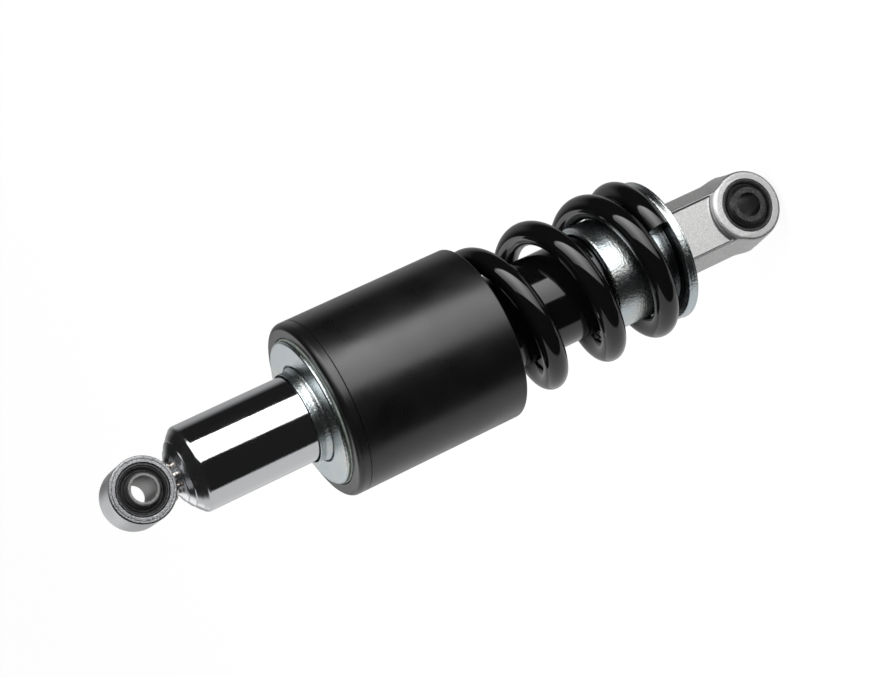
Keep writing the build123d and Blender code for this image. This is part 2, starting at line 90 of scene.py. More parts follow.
class Outline:
    """Closed half outline of a turned piece, with rounded corners.

    Each corner is (radius, height) or (radius, height, rounding), in millimetres.
    """

    STEP: ClassVar[float] = math.radians(11)
    STRAIGHT: ClassVar[float] = 1e-4
    ROOM: ClassVar[float] = 0.499

    def __init__(self, *corners: tuple[float, ...]) -> None:
        """Stores the corners so that they run anticlockwise, with the material on the left."""
        points = [(c[0], c[1], c[2] if len(c) > 2 else 0.0) for c in corners]
        area = 0.0
        for (r0, z0, _), (r1, z1, _) in zip(points, points[1:] + points[:1]):
            area += r0 * z1 - r1 * z0
        self.corners = points if area > 0 else points[::-1]

    @classmethod
    def mirrored(cls, *face: tuple[float, ...]) -> "Outline":
        """Outline of these corners, from the outside inwards, and of their mirror image below 0."""
        return cls(*face, *[(r, -z, *rest) for r, z, *rest in face[::-1] if z])

    def _rounded(self, index: int) -> list[tuple[float, float, float, float]]:
        """One corner as (radius, height, normal in, normal out) rows along its rounding.

        Args:
            index: Which corner.

        Returns:
            Rows of radius, height, and the outward normal's angle before and after that point.
        """
        count = len(self.corners)
        r, z, rounding = self.corners[index]
        before = self.corners[index - 1]
        after = self.corners[(index + 1) % count]
        came = math.atan2(z - before[1], r - before[0])
        goes = math.atan2(after[1] - z, after[0] - r)
        turn = (goes - came + math.pi) % (2 * math.pi) - math.pi
        normal = came - math.pi / 2
        if rounding <= 0 or abs(turn) < self.STRAIGHT:
            return [(r, z, normal, normal + turn)]
        room = self.ROOM * min(math.dist((r, z), before[:2]), math.dist((r, z), after[:2]))
        reach = min(rounding * math.tan(abs(turn) / 2), room)
        radius = reach / math.tan(abs(turn) / 2)
        side = math.copysign(1, turn)
        centre_r = r - reach * math.cos(came) - side * radius * math.cos(normal)
        centre_z = z - reach * math.sin(came) - side * radius * math.sin(normal)
        steps = max(2, math.ceil(abs(turn) / self.STEP))
        rows = []
        for step in range(steps + 1):
            angle = normal + turn * step / steps
            at_r = centre_r + side * radius * math.cos(angle)
            at_z = centre_z + side * radius * math.sin(angle)
            rows.append((max(at_r, 0.0), at_z, angle, angle))
        return rows

    def rows(self) -> np.ndarray:
        """All points as rows of radius, height, normal angle before and normal angle after."""
        found = []
        for index in range(len(self.corners)):
            found += self._rounded(index)
        return np.array(found)


def linked(name: str, data: bpy.types.ID) -> bpy.types.Object:
    """Adds an object over that data to the scene."""
    added = bpy.data.objects.new(name, data)
    bpy.context.scene.collection.objects.link(added)
    return added


def mesh_piece(name: str, points: np.ndarray, faces: list, normals: np.ndarray | None) -> bpy.types.Object:
    """Makes a smooth shaded mesh object from points in millimetres.

    Args:
        name: Name of the object and its mesh.
        points: Vertices, one row each.
        faces: Tuples of vertex numbers, anticlockwise from outside.
        normals: One outward normal for each corner of each face, or None for the mesh's own.

    Returns:
        The object, linked to the scene, with its place in its mesh.
    """
    mesh = bpy.data.meshes.new(name)
    mesh.from_pydata((np.asarray(points) * MM).tolist(), [], faces)
    mesh.shade_smooth()
    if normals is not None:
        mesh.normals_split_custom_set(np.asarray(normals).tolist())
    return linked(name, mesh)


def lathe(name: str, outline: Outline, place: Matrix | None = None, segments: int = 160) -> bpy.types.Object:
    """Turns an outline about Z into a closed piece with exact normals.

    Args:
        name: Name of the object.
        outline: The half outline.
        place: Where the turned shape goes, in millimetres. None leaves it about Z.
        segments: Facets around the axis.

    Returns:
        The piece.
    """
    rows = outline.rows()
    count = len(rows)
    turn = np.arange(segments) * 2 * math.pi / segments
    ring = np.stack([np.cos(turn), np.sin(turn)], 1)
    points = np.zeros((count, segments, 3))
    points[..., :2] = rows[:, None, :1] * ring[None]
    points[..., 2] = rows[:, None, 1]
    faces = []
    normals = []
    for i in range(count):
        k = (i + 1) % count
        on_axis = (rows[i, 0] < ON_AXIS, rows[k, 0] < ON_AXIS)
        if all(on_axis) or math.dist(rows[i, :2], rows[k, :2]) < NO_LENGTH:
            continue
        starts, ends = rows[i, 3], rows[k, 2]
        for j in range(segments):
            n = (j + 1) % segments
            loops = [(i, j, starts), (i, n, starts), (k, n, ends), (k, j, ends)]
            if on_axis[0]:
                loops = [(i, 0, starts), loops[2], loops[3]]
            elif on_axis[1]:
                loops = [loops[0], loops[1], (k, 0, ends)]
            faces.append(tuple(row * segments + column for row, column, _ in loops))
            for _, column, angle in loops:
                spread = math.cos(angle)
                normals.append((spread * ring[column, 0], spread * ring[column, 1], math.sin(angle)))
    points = points.reshape(-1, 3)
    used = np.unique([v for face in faces for v in face])
    renumber = np.zeros(len(points), int)
    renumber[used] = np.arange(len(used))
    faces = [tuple(int(renumber[v]) for v in face) for face in faces]
    points = points[used]
    normals = np.array(normals)
    if place is not None:
        turned = np.array(place.to_3x3())
        points = points @ turned.T + np.array(place.translation)
        normals = normals @ turned.T
    return mesh_piece(name, points, faces, normals)


def across(height: float) -> Matrix:
    """Place of a turned piece whose axis runs along +X at that height."""
    return Matrix.Translation((0, 0, height)) @ Matrix.Rotation(math.pi / 2, 4, "Y")


# Node trees


class Value:
    """One output of a node tree, which Python's operators join to others with Math nodes."""

    def __init__(self, graph: "Graph", socket: bpy.types.NodeSocket) -> None:
        """Wraps a socket of that graph."""
        self.graph = graph
        self.socket = socket

    def other(self, output: int | str) -> "Value":
        """Another output of the same node."""
        return Value(self.graph, self.socket.node.outputs[output])

    def __add__(self, right: Operand) -> "Value":
        """self + right."""
        return self.graph.math("ADD", self, right)

    def __mul__(self, right: Operand) -> "Value":
        """self * right."""
        return self.graph.math("MULTIPLY", self, right)

    def __sub__(self, right: Operand) -> "Value":
        """self - right."""
        return self.graph.math("SUBTRACT", self, right)

    def __rsub__(self, left: Operand) -> "Value":
        """left - self."""
        return self.graph.math("SUBTRACT", left, self)

    def __truediv__(self, right: Operand) -> "Value":
        """self / right."""
        return self.graph.math("DIVIDE", self, right)

    def __pow__(self, right: Operand) -> "Value":
        """self ** right."""
        return self.graph.math("POWER", self, right)

    def __abs__(self) -> "Value":
        """abs(self)."""
        return self.graph.math("ABSOLUTE", self)

    def least(self, right: Operand) -> "Value":
        """The smaller of the two."""
        return self.graph.math("MINIMUM", self, right)

    def most(self, right: Operand) -> "Value":
        """The larger of the two."""
        return self.graph.math("MAXIMUM", self, right)

    def rise(self, start: float, end: float, low: float = 0.0, high: float = 1.0) -> "Value":
        """Goes smoothly from low to high as self goes from start to end.

        Args:
            start: Value of self at which the result is still low.
            end: Value of self at which the result has reached high.
            low: Result before start.
            high: Result past end.

        Returns:
            The smoothed value.
        """
        sockets = {0: self, 1: start, 2: end, 3: low, 4: high}
        return self.graph.node("ShaderNodeMapRange", {"interpolation_type": "SMOOTHSTEP"}, sockets)


class Graph:
    """A node tree under construction."""

    def __init__(self, tree: bpy.types.NodeTree) -> None:
        """Empties the tree and takes it over."""
        self.tree = tree
        tree.nodes.clear()

    def node(
        self,
        kind: str,
        settings: dict[str, object] | None = None,
        sockets: dict[int | str, object] | None = None,
        output: int | str = 0,
    ) -> Value:
        """Adds a node.

        Args:
            kind: The node's type name.
            settings: Its properties, which are set first.
            sockets: Values or links for its inputs, by number or name.
            output: The output to return.

        Returns:
            That output.
        """
        made = self.tree.nodes.new(kind)
        for key, setting in (settings or {}).items():
            setattr(made, key, setting)
        for key, value in (sockets or {}).items():
            if isinstance(value, Value):
                self.tree.links.new(value.socket, made.inputs[key])
            else:
                made.inputs[key].default_value = value
        if not made.outputs:
            return Value(self, made.inputs[0])
        return Value(self, made.outputs[output])

    def math(self, operation: str, *operands: Operand) -> Value:
        """Adds a Math node over one or more values."""
        return self.node("ShaderNodeMath", {"operation": operation}, dict(enumerate(operands)))

    def vector(self, x: Operand, y: Operand, z: Operand) -> Value:
        """Joins three values into a vector."""
        return self.node("ShaderNodeCombineXYZ", sockets={0: x, 1: y, 2: z})


class Surface(Graph):
    """Shader tree of one material, with the place of each point in millimetres."""

    def __init__(self, name: str) -> None:
        """Starts a material of that name."""
        self.material = bpy.data.materials.new(name)
        self.material.use_nodes = True
        super().__init__(self.material.node_tree)
        coordinates = self.node("ShaderNodeTexCoord", output="Object")
        self.place = self.node(
            "ShaderNodeVectorMath", {"operation": "SCALE"}, {0: coordinates, "Scale": 1 / MM}
        )
        self.x = self.node("ShaderNodeSeparateXYZ", sockets={0: self.place})
        self.y = self.x.other(1)
        self.z = self.x.other(2)

    def noise(self, size: float, detail: float = 2.0, at: Value | None = None) -> Value:
        """Noise from 0 to 1.

        Args:
            size: Size of its patches, in millimetres.
            detail: How many finer layers it has.
            at: Where it is read. None reads it at the point itself.

        Returns:
            The noise.
        """
        sockets = {"Vector": self.place if at is None else at, "Scale": 1 / size, "Detail": detail}
        return self.node("ShaderNodeTexNoise", sockets=sockets)

    def radius(self, height: float | None = None) -> Value:
        """Distance from the damper's axis, or from the bore's axis at that height.

        Args:
            height: Height of the bore's axis. None measures from the damper's own axis.

        Returns:
            The distance, in millimetres.
        """
        if height is None:
            return self.math("SQRT", self.x * self.x + self.y * self.y)
        up = self.z - height
        return self.math("SQRT", self.y * self.y + up * up)

    def tint(self, share: Operand, first: Value | Colour, second: Value | Colour) -> Value:
        """Mixes two colours.

        Args:
            share: How much of the second there is.
            first: Colour at 0.
            second: Colour at 1.

        Returns:
            The mixed colour.
        """
        ends = [c if isinstance(c, Value) else (*c, 1.0) for c in (first, second)]
        return self.node("ShaderNodeMix", {"data_type": "RGBA"}, {0: share, 6: ends[0], 7: ends[1]}, 2)

    def bump(self, height: Value, depth: float, under: Value | None = None) -> Value:
        """Bumps the surface.

        Args:
            height: Relief, from 0 to 1.
            depth: Depth of the whole relief, in millimetres.
            under: A normal that it adds to.

        Returns:
            The bumped normal.
        """
        sockets = {"Height": height, "Distance": depth * MM, "Strength": 1.0}
        if under is not None:
            sockets["Normal"] = under
        return self.node("ShaderNodeBump", sockets=sockets)

    def finish(self, **sockets: object) -> bpy.types.Material:
        """Closes the tree with a Principled shader.

        Args:
            **sockets: Its inputs, with spaces written as underscores.

        Returns:
            The finished material.
        """
        named = {key.replace("_", " "): value for key, value in sockets.items()}
        for key, value in named.items():
            if key == "Base Color" and not isinstance(value, Value):
                named[key] = (*value, 1.0)
        shader = self.node("ShaderNodeBsdfPrincipled", sockets=named)
        self.node("ShaderNodeOutputMaterial", sockets={"Surface": shader})
        return self.material


class Geometry(Graph):
    """Geometry tree with named inputs, which is baked into a plain mesh."""

    def __init__(self, name: str) -> None:
        """Starts a geometry tree of that name."""
        super().__init__(bpy.data.node_groups.new(name, "GeometryNodeTree"))
        self.tree.interface.new_socket("Geometry", in_out="OUTPUT", socket_type="NodeSocketGeometry")
        self.group_input = None
        self.values = {}

    def input(self, name: str, value: float | int | bpy.types.Material) -> Value:
        """Adds a named input.

        Args:
            name: Name of the input.
            value: What the modifier gives it.

        Returns:
            The input's output in the tree.
        """
        kinds = {float: "NodeSocketFloat", int: "NodeSocketInt", bpy.types.Material: "NodeSocketMaterial"}
        socket = self.tree.interface.new_socket(name, in_out="INPUT", socket_type=kinds[type(value)])
        self.values[socket.identifier] = value
        if self.group_input is None:
            self.group_input = self.tree.nodes.new("NodeGroupInput")
        return Value(self, self.group_input.outputs[name])

    def points_at(self, count: Value, spot: Value) -> Value:
        """That many points, each moved to its own spot."""
        line = self.node("GeometryNodeMeshLine", sockets={"Count": count})
        return self.node("GeometryNodeSetPosition", sockets={0: line, "Position": spot})

    def bake(self, name: str, result: Value, material: bpy.types.Material) -> bpy.types.Object:
        """Runs the tree and keeps what it makes as a plain, smooth shaded mesh.

        Args:
            name: Name of the finished piece.
            result: The geometry to output.
            material: The material that every face gets.

        Returns:
            The piece.
        """
        held = self.input("Finish", material)
        real = self.node("GeometryNodeRealizeInstances", sockets={0: result})
        smooth = self.node("GeometryNodeSetShadeSmooth", sockets={0: real})
        dressed = self.node("GeometryNodeSetMaterial", sockets={0: smooth, "Material": held})
        self.node("NodeGroupOutput", sockets={0: dressed})
        carrier = linked(name + "_carrier", bpy.data.meshes.new(name + "_carrier"))
        modifier = carrier.modifiers.new("Shape", "NODES")
        modifier.node_group = self.tree
        for identifier, value in self.values.items():
            modifier[identifier] = value
        carrier.update_tag()
        evaluated = carrier.evaluated_get(bpy.context.evaluated_depsgraph_get())
        mesh = bpy.data.meshes.new_from_object(evaluated)
        carrier.modifiers.remove(modifier)
        bpy.data.objects.remove(carrier)
        mesh.name = name
        return linked(name, mesh)


# Finishes


@dataclass(frozen=True)
class Finish:
    """A finish of the object. Its slot is the record's name for it, or the scene's own if it has none.

    Places, heights and radii in the finishes are in millimetres.
    """

    made: ClassVar[dict[str, bpy.types.Material]] = {}
    slot: str

    def material(self) -> bpy.types.Material:
        """The finish's one material, made when it is first asked for."""
        if self.slot not in self.made:
            self.made[self.slot] = self.shade(Surface(f"{self.slot}_finish"))
        return self.made[self.slot]

    def shade(self, s: Surface) -> bpy.types.Material:
        """Builds the shader. Each finish has its own."""
        raise NotImplementedError


@dataclass(frozen=True)
class ChromePlate(Finish):
    """Bright chrome on the damper body and its eye, with a spun cone and rough ring faces."""

    colour: Colour = (0.53, 0.54, 0.555)
    pitted: Colour = (0.05, 0.05, 0.052)
    haze: float = 0.055
    cone_low: float = 327.5
    cone_full: float = 330.0
    cone_top: float = 342.0
    face_low: float = 338.0
    face_x: float = 13.7
    eye_low: float = 340.0

    def shade(self, s: Surface) -> bpy.types.Material:
        """Mirror with faint haze. The cone shows its spinning, and the ring's faces are speckled."""
        smear = s.noise(14.0, 3.0)
        cone = s.z.rise(self.cone_low, self.cone_full) * s.z.rise(self.cone_top, self.cone_top - 2.0)
        face = abs(s.x).rise(self.face_x, self.face_x + 0.3) * s.z.rise(self.face_low, self.face_low + 1.0)
        eye = s.z.rise(self.eye_low, self.eye_low + 1.5)
        spin = s.noise(2.6, 2.0, s.vector(s.z, s.y * 0.12, s.x * 0.12))
        speckle = s.noise(0.55, 3.0)
        pits = speckle.rise(0.46, 0.62)
        height = cone * spin * 0.8 + face * speckle * 0.35
        height = height + s.noise(30.0, 1.0) * 0.12 + s.noise(0.9, 3.0) * 0.13
        rough = smear.rise(0.3, 0.8, self.haze, self.haze + 0.05) + cone * 0.12 + eye * 0.34
        dull = face * (pits * 0.4 + 0.5) + eye * (1.0 - face) * 0.1
        shade = s.tint(dull, self.colour, self.pitted)
        normal = s.bump(height, 0.12)
        return s.finish(Base_Color=shade, Metallic=1.0, Roughness=rough, Normal=normal)


@dataclass(frozen=True)
class ZincPlate(Finish):
    """Bluish zinc plate with a satin grain and faint turning lines."""

    colour: Colour = (0.46, 0.515, 0.54)
    warm: Colour = (0.52, 0.53, 0.51)
    # colour of the painted shade under the spring's lowest coil
    painted_shade_colour: Colour = (0.04, 0.043, 0.045)
    rough: float = 0.19
    painted_shade_r: float = 33.0
    painted_shade_low: float = 59.2
    painted_shade_high: float = 63.0

    def shade(self, s: Surface) -> bpy.types.Material:
        """Satin metal whose tone drifts between blue and straw, with painted shade where the spring sits on
        it.
        """
        drift = s.noise(16.0, 3.0).rise(0.35, 0.7)
        grain = s.noise(1.1, 4.0)
        radius = s.radius()
        lines = s.noise(0.6, 2.0, s.vector(radius, s.z, 0.0))
        # Painted shade: the seat and the collar's foot go dark under the spring's lowest coil, standing in
        # for its shadow and dark reflection.
        painted_shade_mask = radius.rise(self.painted_shade_r + 2.5, self.painted_shade_r)
        painted_shade_mask = painted_shade_mask * s.z.rise(self.painted_shade_low, self.painted_shade_low + 0.6)
        painted_shade_mask = painted_shade_mask * s.z.rise(self.painted_shade_high + 5.0, self.painted_shade_high)
        shade = s.tint(painted_shade_mask * 0.9, s.tint(drift, self.colour, self.warm), self.painted_shade_colour)
        rough = drift * 0.04 + grain * 0.08 + self.rough
        normal = s.bump(lines * 0.3 + grain * 0.7, 0.3)
        return s.finish(Base_Color=shade, Metallic=1.0, Roughness=rough, Normal=normal)


@dataclass(frozen=True)
class GlossBlack(Finish):
    """Gloss black: the spring's powder coat, or the dust tube's moulded plastic."""

    colour: Colour = (0.004, 0.004, 0.0042)
    rough: float = 0.04
    peel: float = 0.0025

    def shade(self, s: Surface) -> bpy.types.Material:
        """Deep black gloss with a faint orange peel."""
        peel = s.noise(2.2, 1.0)
        rough = s.noise(9.0, 2.0).rise(0.3, 0.8, self.rough, self.rough + 0.03)
        return s.finish(
            Base_Color=self.colour, Roughness=rough, Specular_IOR_Level=0.5, Normal=s.bump(peel, self.peel)
        )


@dataclass(frozen=True)
class SatinBlack(Finish):
    """Satin moulded plastic of the sleeve over the spring, cloudy where it has been handled."""

    colour: Colour = (0.003, 0.003, 0.0032)
    clouded: Colour = (0.0045, 0.0045, 0.0047)
    rough: float = 0.25
    streak_top: float = 230.0
    streak_full: float = 178.0

    def shade(self, s: Surface) -> bpy.types.Material:
        """Satin black whose gloss varies in soft clouds."""
        clouds = s.noise(17.0, 3.0)
        wear = s.noise(6.0, 2.0)
        bands = s.noise(2.0, 2.0, s.vector(s.z, 0.0, 0.0))
        streak = bands * s.z.rise(self.streak_top, self.streak_full)
        rough = clouds.rise(0.3, 0.7, self.rough, self.rough + 0.07) + wear * 0.015 + streak * 0.05
        shade = s.tint(clouds, self.colour, self.clouded)
        return s.finish(Base_Color=shade, Roughness=rough, Normal=s.bump(s.noise(0.6, 2.0), 0.006))


@dataclass(frozen=True)
class CastAluminium(Finish):
    """Fine blasted casting of the rod end."""

    colour: Colour = (0.56, 0.555, 0.55)
    grit: Colour = (0.32, 0.32, 0.32)
    shadow: Colour = (0.05, 0.05, 0.05)
    rough: float = 0.33
    cove_r: float = 18.7
    cove_end_r: float = 22.4
    cove_x: float = 10.5
    cove_y: float = 14.2
    rim_y: float = 13.1
    rim_x: float = 9.6
    rim_low: float = 12.0
    floor_x: float = 7.2

    def shaded(self, s: Surface) -> Value:
        """Mask of painted shade: 1 in the cove between boss and neck and along the sunk panel's rim, and 0
        elsewhere.
        """
        bore, x, y, rim = s.radius(0.0), abs(s.x), abs(s.y), self.rim_y
        cove = bore.rise(self.cove_r, self.cove_r + 0.6) * bore.rise(self.cove_end_r, self.cove_end_r - 2.0)
        cove = cove * x.rise(self.cove_x, self.cove_x - 0.7)
        cove = cove * y.rise(self.cove_y, self.cove_y - 1.2) * s.z.rise(0.0, 2.0)
        edge = y.rise(rim - 0.7, rim - 0.2) * y.rise(rim + 0.7, rim + 0.2)
        edge = edge * x.rise(self.rim_x, self.rim_x - 0.3) * s.z.rise(self.rim_low, self.rim_low + 4.0)
        return cove.most(edge) * x.rise(self.floor_x, self.floor_x + 0.6)

    def shade(self, s: Surface) -> bpy.types.Material:
        """Pale metal with a fine blasted grain, a little speckle, and painted shade in the cove and along
        the sunk panel's rim.
        """
        grain = s.noise(0.42, 3.0)
        patches = s.noise(9.0, 2.0)
        shade = s.tint(grain.rise(0.35, 0.7), self.grit, self.colour)
        # Painted shade: the cove round the boss and the sunk panel's rim are darkened towards the shadow
        # colour.
        shade = s.tint(self.shaded(s) * 0.75, shade, self.shadow)
        rough = grain * 0.12 + patches * 0.06 + self.rough
        normal = s.bump(grain * 0.8 + s.noise(3.5, 1.0) * 0.5, 0.09)
        return s.finish(Base_Color=shade, Metallic=0.85, Roughness=rough, Normal=normal)


@dataclass(frozen=True)
class TurnedMetal(Finish):
    """Machined metal with fine turning lines about the damper's axis or a bore's."""

    colour: Colour
    rough: float = 0.28
    bore_height: float | None = None

    def shade(self, s: Surface) -> bpy.types.Material:
        """Metal with close concentric lines."""
        lines = s.noise(0.3, 2.0, s.vector(s.radius(self.bore_height), 0.0, 0.0))
        rough = lines * 0.12 + s.noise(2.0, 2.0) * 0.06 + self.rough
        normal = s.bump(lines, 0.006)
        return s.finish(Base_Color=self.colour, Metallic=1.0, Roughness=rough, Normal=normal)


@dataclass(frozen=True)
class RoughSteel(Finish):
    """Dark steel with a rough, mottled skin."""

    colour: Colour
    bright: Colour
    rough: float = 0.38
    shaded_bore_r: float = -1.0
    # colour of the painted shade inside the bore
    black: Colour = (0.003, 0.003, 0.003)

    def shade(self, s: Surface) -> bpy.types.Material:
        """Mottled steel, brighter where it is worn. Painted shade can make the lower eye's bore near black.
        """
        mottle = s.noise(1.1, 4.0)
        worn = s.tint(mottle.rise(0.4, 0.75), self.colour, self.bright)
        # Painted shade: inside the lower eye's bore the colour goes to near black, standing in for the shade
        # in the hole.
        bore = s.radius(0.0).rise(self.shaded_bore_r + 0.4, self.shaded_bore_r + 0.1)
        shade = s.tint(bore, worn, self.black)
        normal = s.bump(s.noise(0.5, 3.0), 0.02)
        return s.finish(
            Base_Color=shade, Metallic=0.85, Roughness=mottle * 0.25 + self.rough, Normal=normal
        )


@dataclass(frozen=True)
class Rubber(Finish):
    """Moulded rubber, or a dull polymer."""

    colour: Colour
    rough: float = 0.62

    def shade(self, s: Surface) -> bpy.types.Material:
        """Dull surface with a light bloom."""
        bloom = s.noise(4.0, 3.0)
        pale = tuple(c * 1.7 + 0.004 for c in self.colour)
        shade = s.tint(bloom.rise(0.35, 0.8), self.colour, pale)
        return s.finish(
            Base_Color=shade, Roughness=bloom * 0.12 + self.rough, Normal=s.bump(s.noise(0.5, 2.0), 0.012)
        )


@dataclass(frozen=True)
class WeldSkin(Finish):
    """Plated weld bead, browned by its heat."""

    colour: Colour = (0.50, 0.46, 0.42)
    browned: Colour = (0.28, 0.19, 0.13)

    def shade(self, s: Surface) -> bpy.types.Material:
        """Rippled metal with straw and brown tints."""
        heat = s.noise(2.4, 3.0)
        shade = s.tint(heat.rise(0.48, 0.75), self.colour, self.browned)
        ripple = s.bump(s.noise(0.8, 2.0), 0.03)
        return s.finish(Base_Color=shade, Metallic=1.0, Roughness=0.28, Normal=ripple)


CHROME = ChromePlate("chrome_plate")
ZINC = ZincPlate("zinc_plate")
SPRING_BLACK = GlossBlack("spring_black")
SLEEVE_BLACK = SatinBlack("sleeve_black")
TUBE_BLACK = GlossBlack("tube_black", rough=0.07, peel=0.002)
CASTING = CastAluminium("cast_aluminium")
BUSH_RUBBER = Rubber("bush_rubber", (0.016, 0.016, 0.017), 0.5)
SLEEVE_STEEL = RoughSteel("sleeve_steel", (0.15, 0.148, 0.145), (0.22, 0.22, 0.22), 0.34)
BLACK_STEEL = RoughSteel("black_steel", (0.024, 0.024, 0.024), (0.06, 0.06, 0.06), 0.28, 6.2)
DARK_STEEL = RoughSteel("dark_steel", (0.04, 0.04, 0.042), (0.10, 0.10, 0.10), 0.42)
MACHINED_STEEL = TurnedMetal("machined_steel", (0.56, 0.56, 0.57))
MACHINED_ALUMINIUM = TurnedMetal("machined_aluminium", (0.66, 0.66, 0.67), 0.25)
BORED_ALUMINIUM = TurnedMetal("bored_aluminium", (0.36, 0.36, 0.36), 0.36, 0.0)
SEAL_RUBBER = Rubber("seal_rubber", (0.012, 0.012, 0.013))
ISOLATOR = Rubber("isolator_rubber", (0.17, 0.19, 0.17), 0.55)
BRONZE = TurnedMetal("bronze", (0.42, 0.28, 0.13))
RING_POLYMER = Rubber("ring_polymer", (0.05, 0.055, 0.05), 0.4)
BUMP_FOAM = Rubber("bump_foam", (0.55, 0.50, 0.30), 0.75)
WELD = WeldSkin("weld_skin")


# Fitting of pieces to the frame


def dress(piece: bpy.types.Object, finish: Finish) -> bpy.types.Object:
    """Gives a piece its one finish.

    Args:
        piece: The piece.
        finish: Its finish.

    Returns:
        The piece.
    """
    piece.data.materials.clear()
    piece.data.materials.append(finish.material())
    return piece


def stand_in(
    piece: bpy.types.Object, finish: Finish, node: str
) -> bpy.types.Object:
    """Puts a dressed piece in the place of a CAD node, on that node's body.

    Args:
        piece: The piece.
        finish: Its finish.
        node: The CAD node that it stands for.

    Returns:
        The piece.
    """
    dress(piece, finish)
    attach(piece, frame["nodes"][node]["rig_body"])
    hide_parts(node)
    log.info("%s stands for %s: %d faces", piece.name, node, len(piece.data.polygons))
    return piece


def ride_along(piece: bpy.types.Object, finish: Finish, body: str) -> bpy.types.Object:
    """Adds a dressed piece that stands for no CAD node.

    Args:
        piece: The piece.
        finish: Its finish.
        body: The body that it rides on.

    Returns:
        The piece.
    """
    dress(piece, finish)
    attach(piece, body)
    log.info("%s added on %s: %d faces", piece.name, body, len(piece.data.polygons))
    return piece


# Sub-assemblies


class Eye(Enum):
    """One of the damper's two eyes."""

    UPPER = "upper"
    LOWER = "lower"


class Side(Enum):
    """One face of the casting's boss, by the way it looks along X."""

    FRONT = 1
    BACK = -1


@dataclass
class Bush:
    """Bonded rubber bush of an eye: steel shell, rubber with a hollow face, inner sleeve."""

    eye: Eye
    height: float
    shell_r: float
    shell_wall: float
    shell_half: float
    sleeve_r: float
    sleeve_half: float
    sleeve_bevel: float
    bore_r: float = 6.2
    gap: float = 0.03
    running_gap: float = 0.05
    hollow: float = 2.4
    pips: int = 5
    pip_r: float = 0.55
    pip_turn: float = 0.6

    @property
    def name(self) -> str:
        """Name of the bush's eye."""
        return self.eye.value

    def build(self) -> None:
        """Builds and dresses the bush's pieces."""
        self.shell()
        self.rubber()
        self.sleeve()

    def shell(self) -> None:
        """Outer shell with its mouth rolled over."""
        r, wall, half = self.shell_r, self.shell_wall, self.shell_half
        outline = Outline.mirrored((r, half, 0.5), (r - wall, half, 0.4))
        shell = lathe(f"{self.name}_shell", outline, across(self.height))
        stand_in(shell, DARK_STEEL, f"{self.name}_bush_shell")

    def rubber(self) -> None:
        """Rubber ring with a smooth trough in each face and moulded pips in the trough."""
        inner = self.sleeve_r + self.running_gap
        outer = self.shell_r - self.shell_wall - self.gap
        half = self.shell_half - 0.5
        low = half - self.hollow
        width = outer - inner
        outline = Outline.mirrored(
            (outer, 0.0), (outer, half, 0.35), (outer - width * 0.16, half, 0.5),
            (outer - width * 0.40, low, 1.6), (inner + width * 0.32, low, 1.4),
            (inner + width * 0.14, half, 0.4), (inner, half, 0.3),
        )
        rubber = lathe(f"{self.name}_rubber", outline, across(self.height))
        stand_in(rubber, BUSH_RUBBER, f"{self.name}_bush_rubber")
        body = frame["nodes"][f"{self.name}_bush_rubber"]["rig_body"]
        pips = self.moulded_pips((inner + outer) / 2 - width * 0.04, low)
        ride_along(pips, BUSH_RUBBER, body)

    def moulded_pips(self, ring_r: float, depth: float) -> bpy.types.Object:
        """Small moulded pips spread round both faces of the rubber.

        Args:
            ring_r: Radius of the circle that they stand on.
            depth: How far out along the bore they stand.

        Returns:
            The pips as one mesh.
        """
        g = Geometry(f"{self.name}_pips")
        circle_r = g.input("Circle radius", ring_r * MM)
        pip_r = g.input("Pip radius", self.pip_r * MM)
        out = g.input("Distance out", depth * MM)
        height = g.input("Bore height", self.height * MM)
        count = g.input("Pips on each face", self.pips)
        index = g.node("GeometryNodeInputIndex")
        turn = index * (2 * math.pi) / count + self.pip_turn
        side = g.math("FLOOR", index / count) * -2.0 + 1.0
        spot = g.vector(
            side * out, circle_r * g.math("COSINE", turn), circle_r * g.math("SINE", turn) + height
        )
        placed = g.points_at(count * 2.0, spot)
        ball = g.node("GeometryNodeMeshUVSphere", sockets={"Segments": 16, "Rings": 8, "Radius": pip_r})
        pips = g.node("GeometryNodeInstanceOnPoints", sockets={0: placed, "Instance": ball})
        return g.bake(f"{self.name}_rubber_pips", pips, BUSH_RUBBER.material())

    def sleeve(self) -> None:
        """Inner steel sleeve that the bolt goes through."""
        r, half, cut = self.sleeve_r, self.sleeve_half, self.sleeve_bevel
        outline = Outline.mirrored((r, half - cut, 0.3), (r - cut, half, 0.3), (self.bore_r, half, 0.3))
        sleeve = lathe(f"{self.name}_sleeve", outline, across(self.height))
        steel = BLACK_STEEL if self.eye is Eye.LOWER else SLEEVE_STEEL
        stand_in(sleeve, steel, f"{self.name}_inner_sleeve")


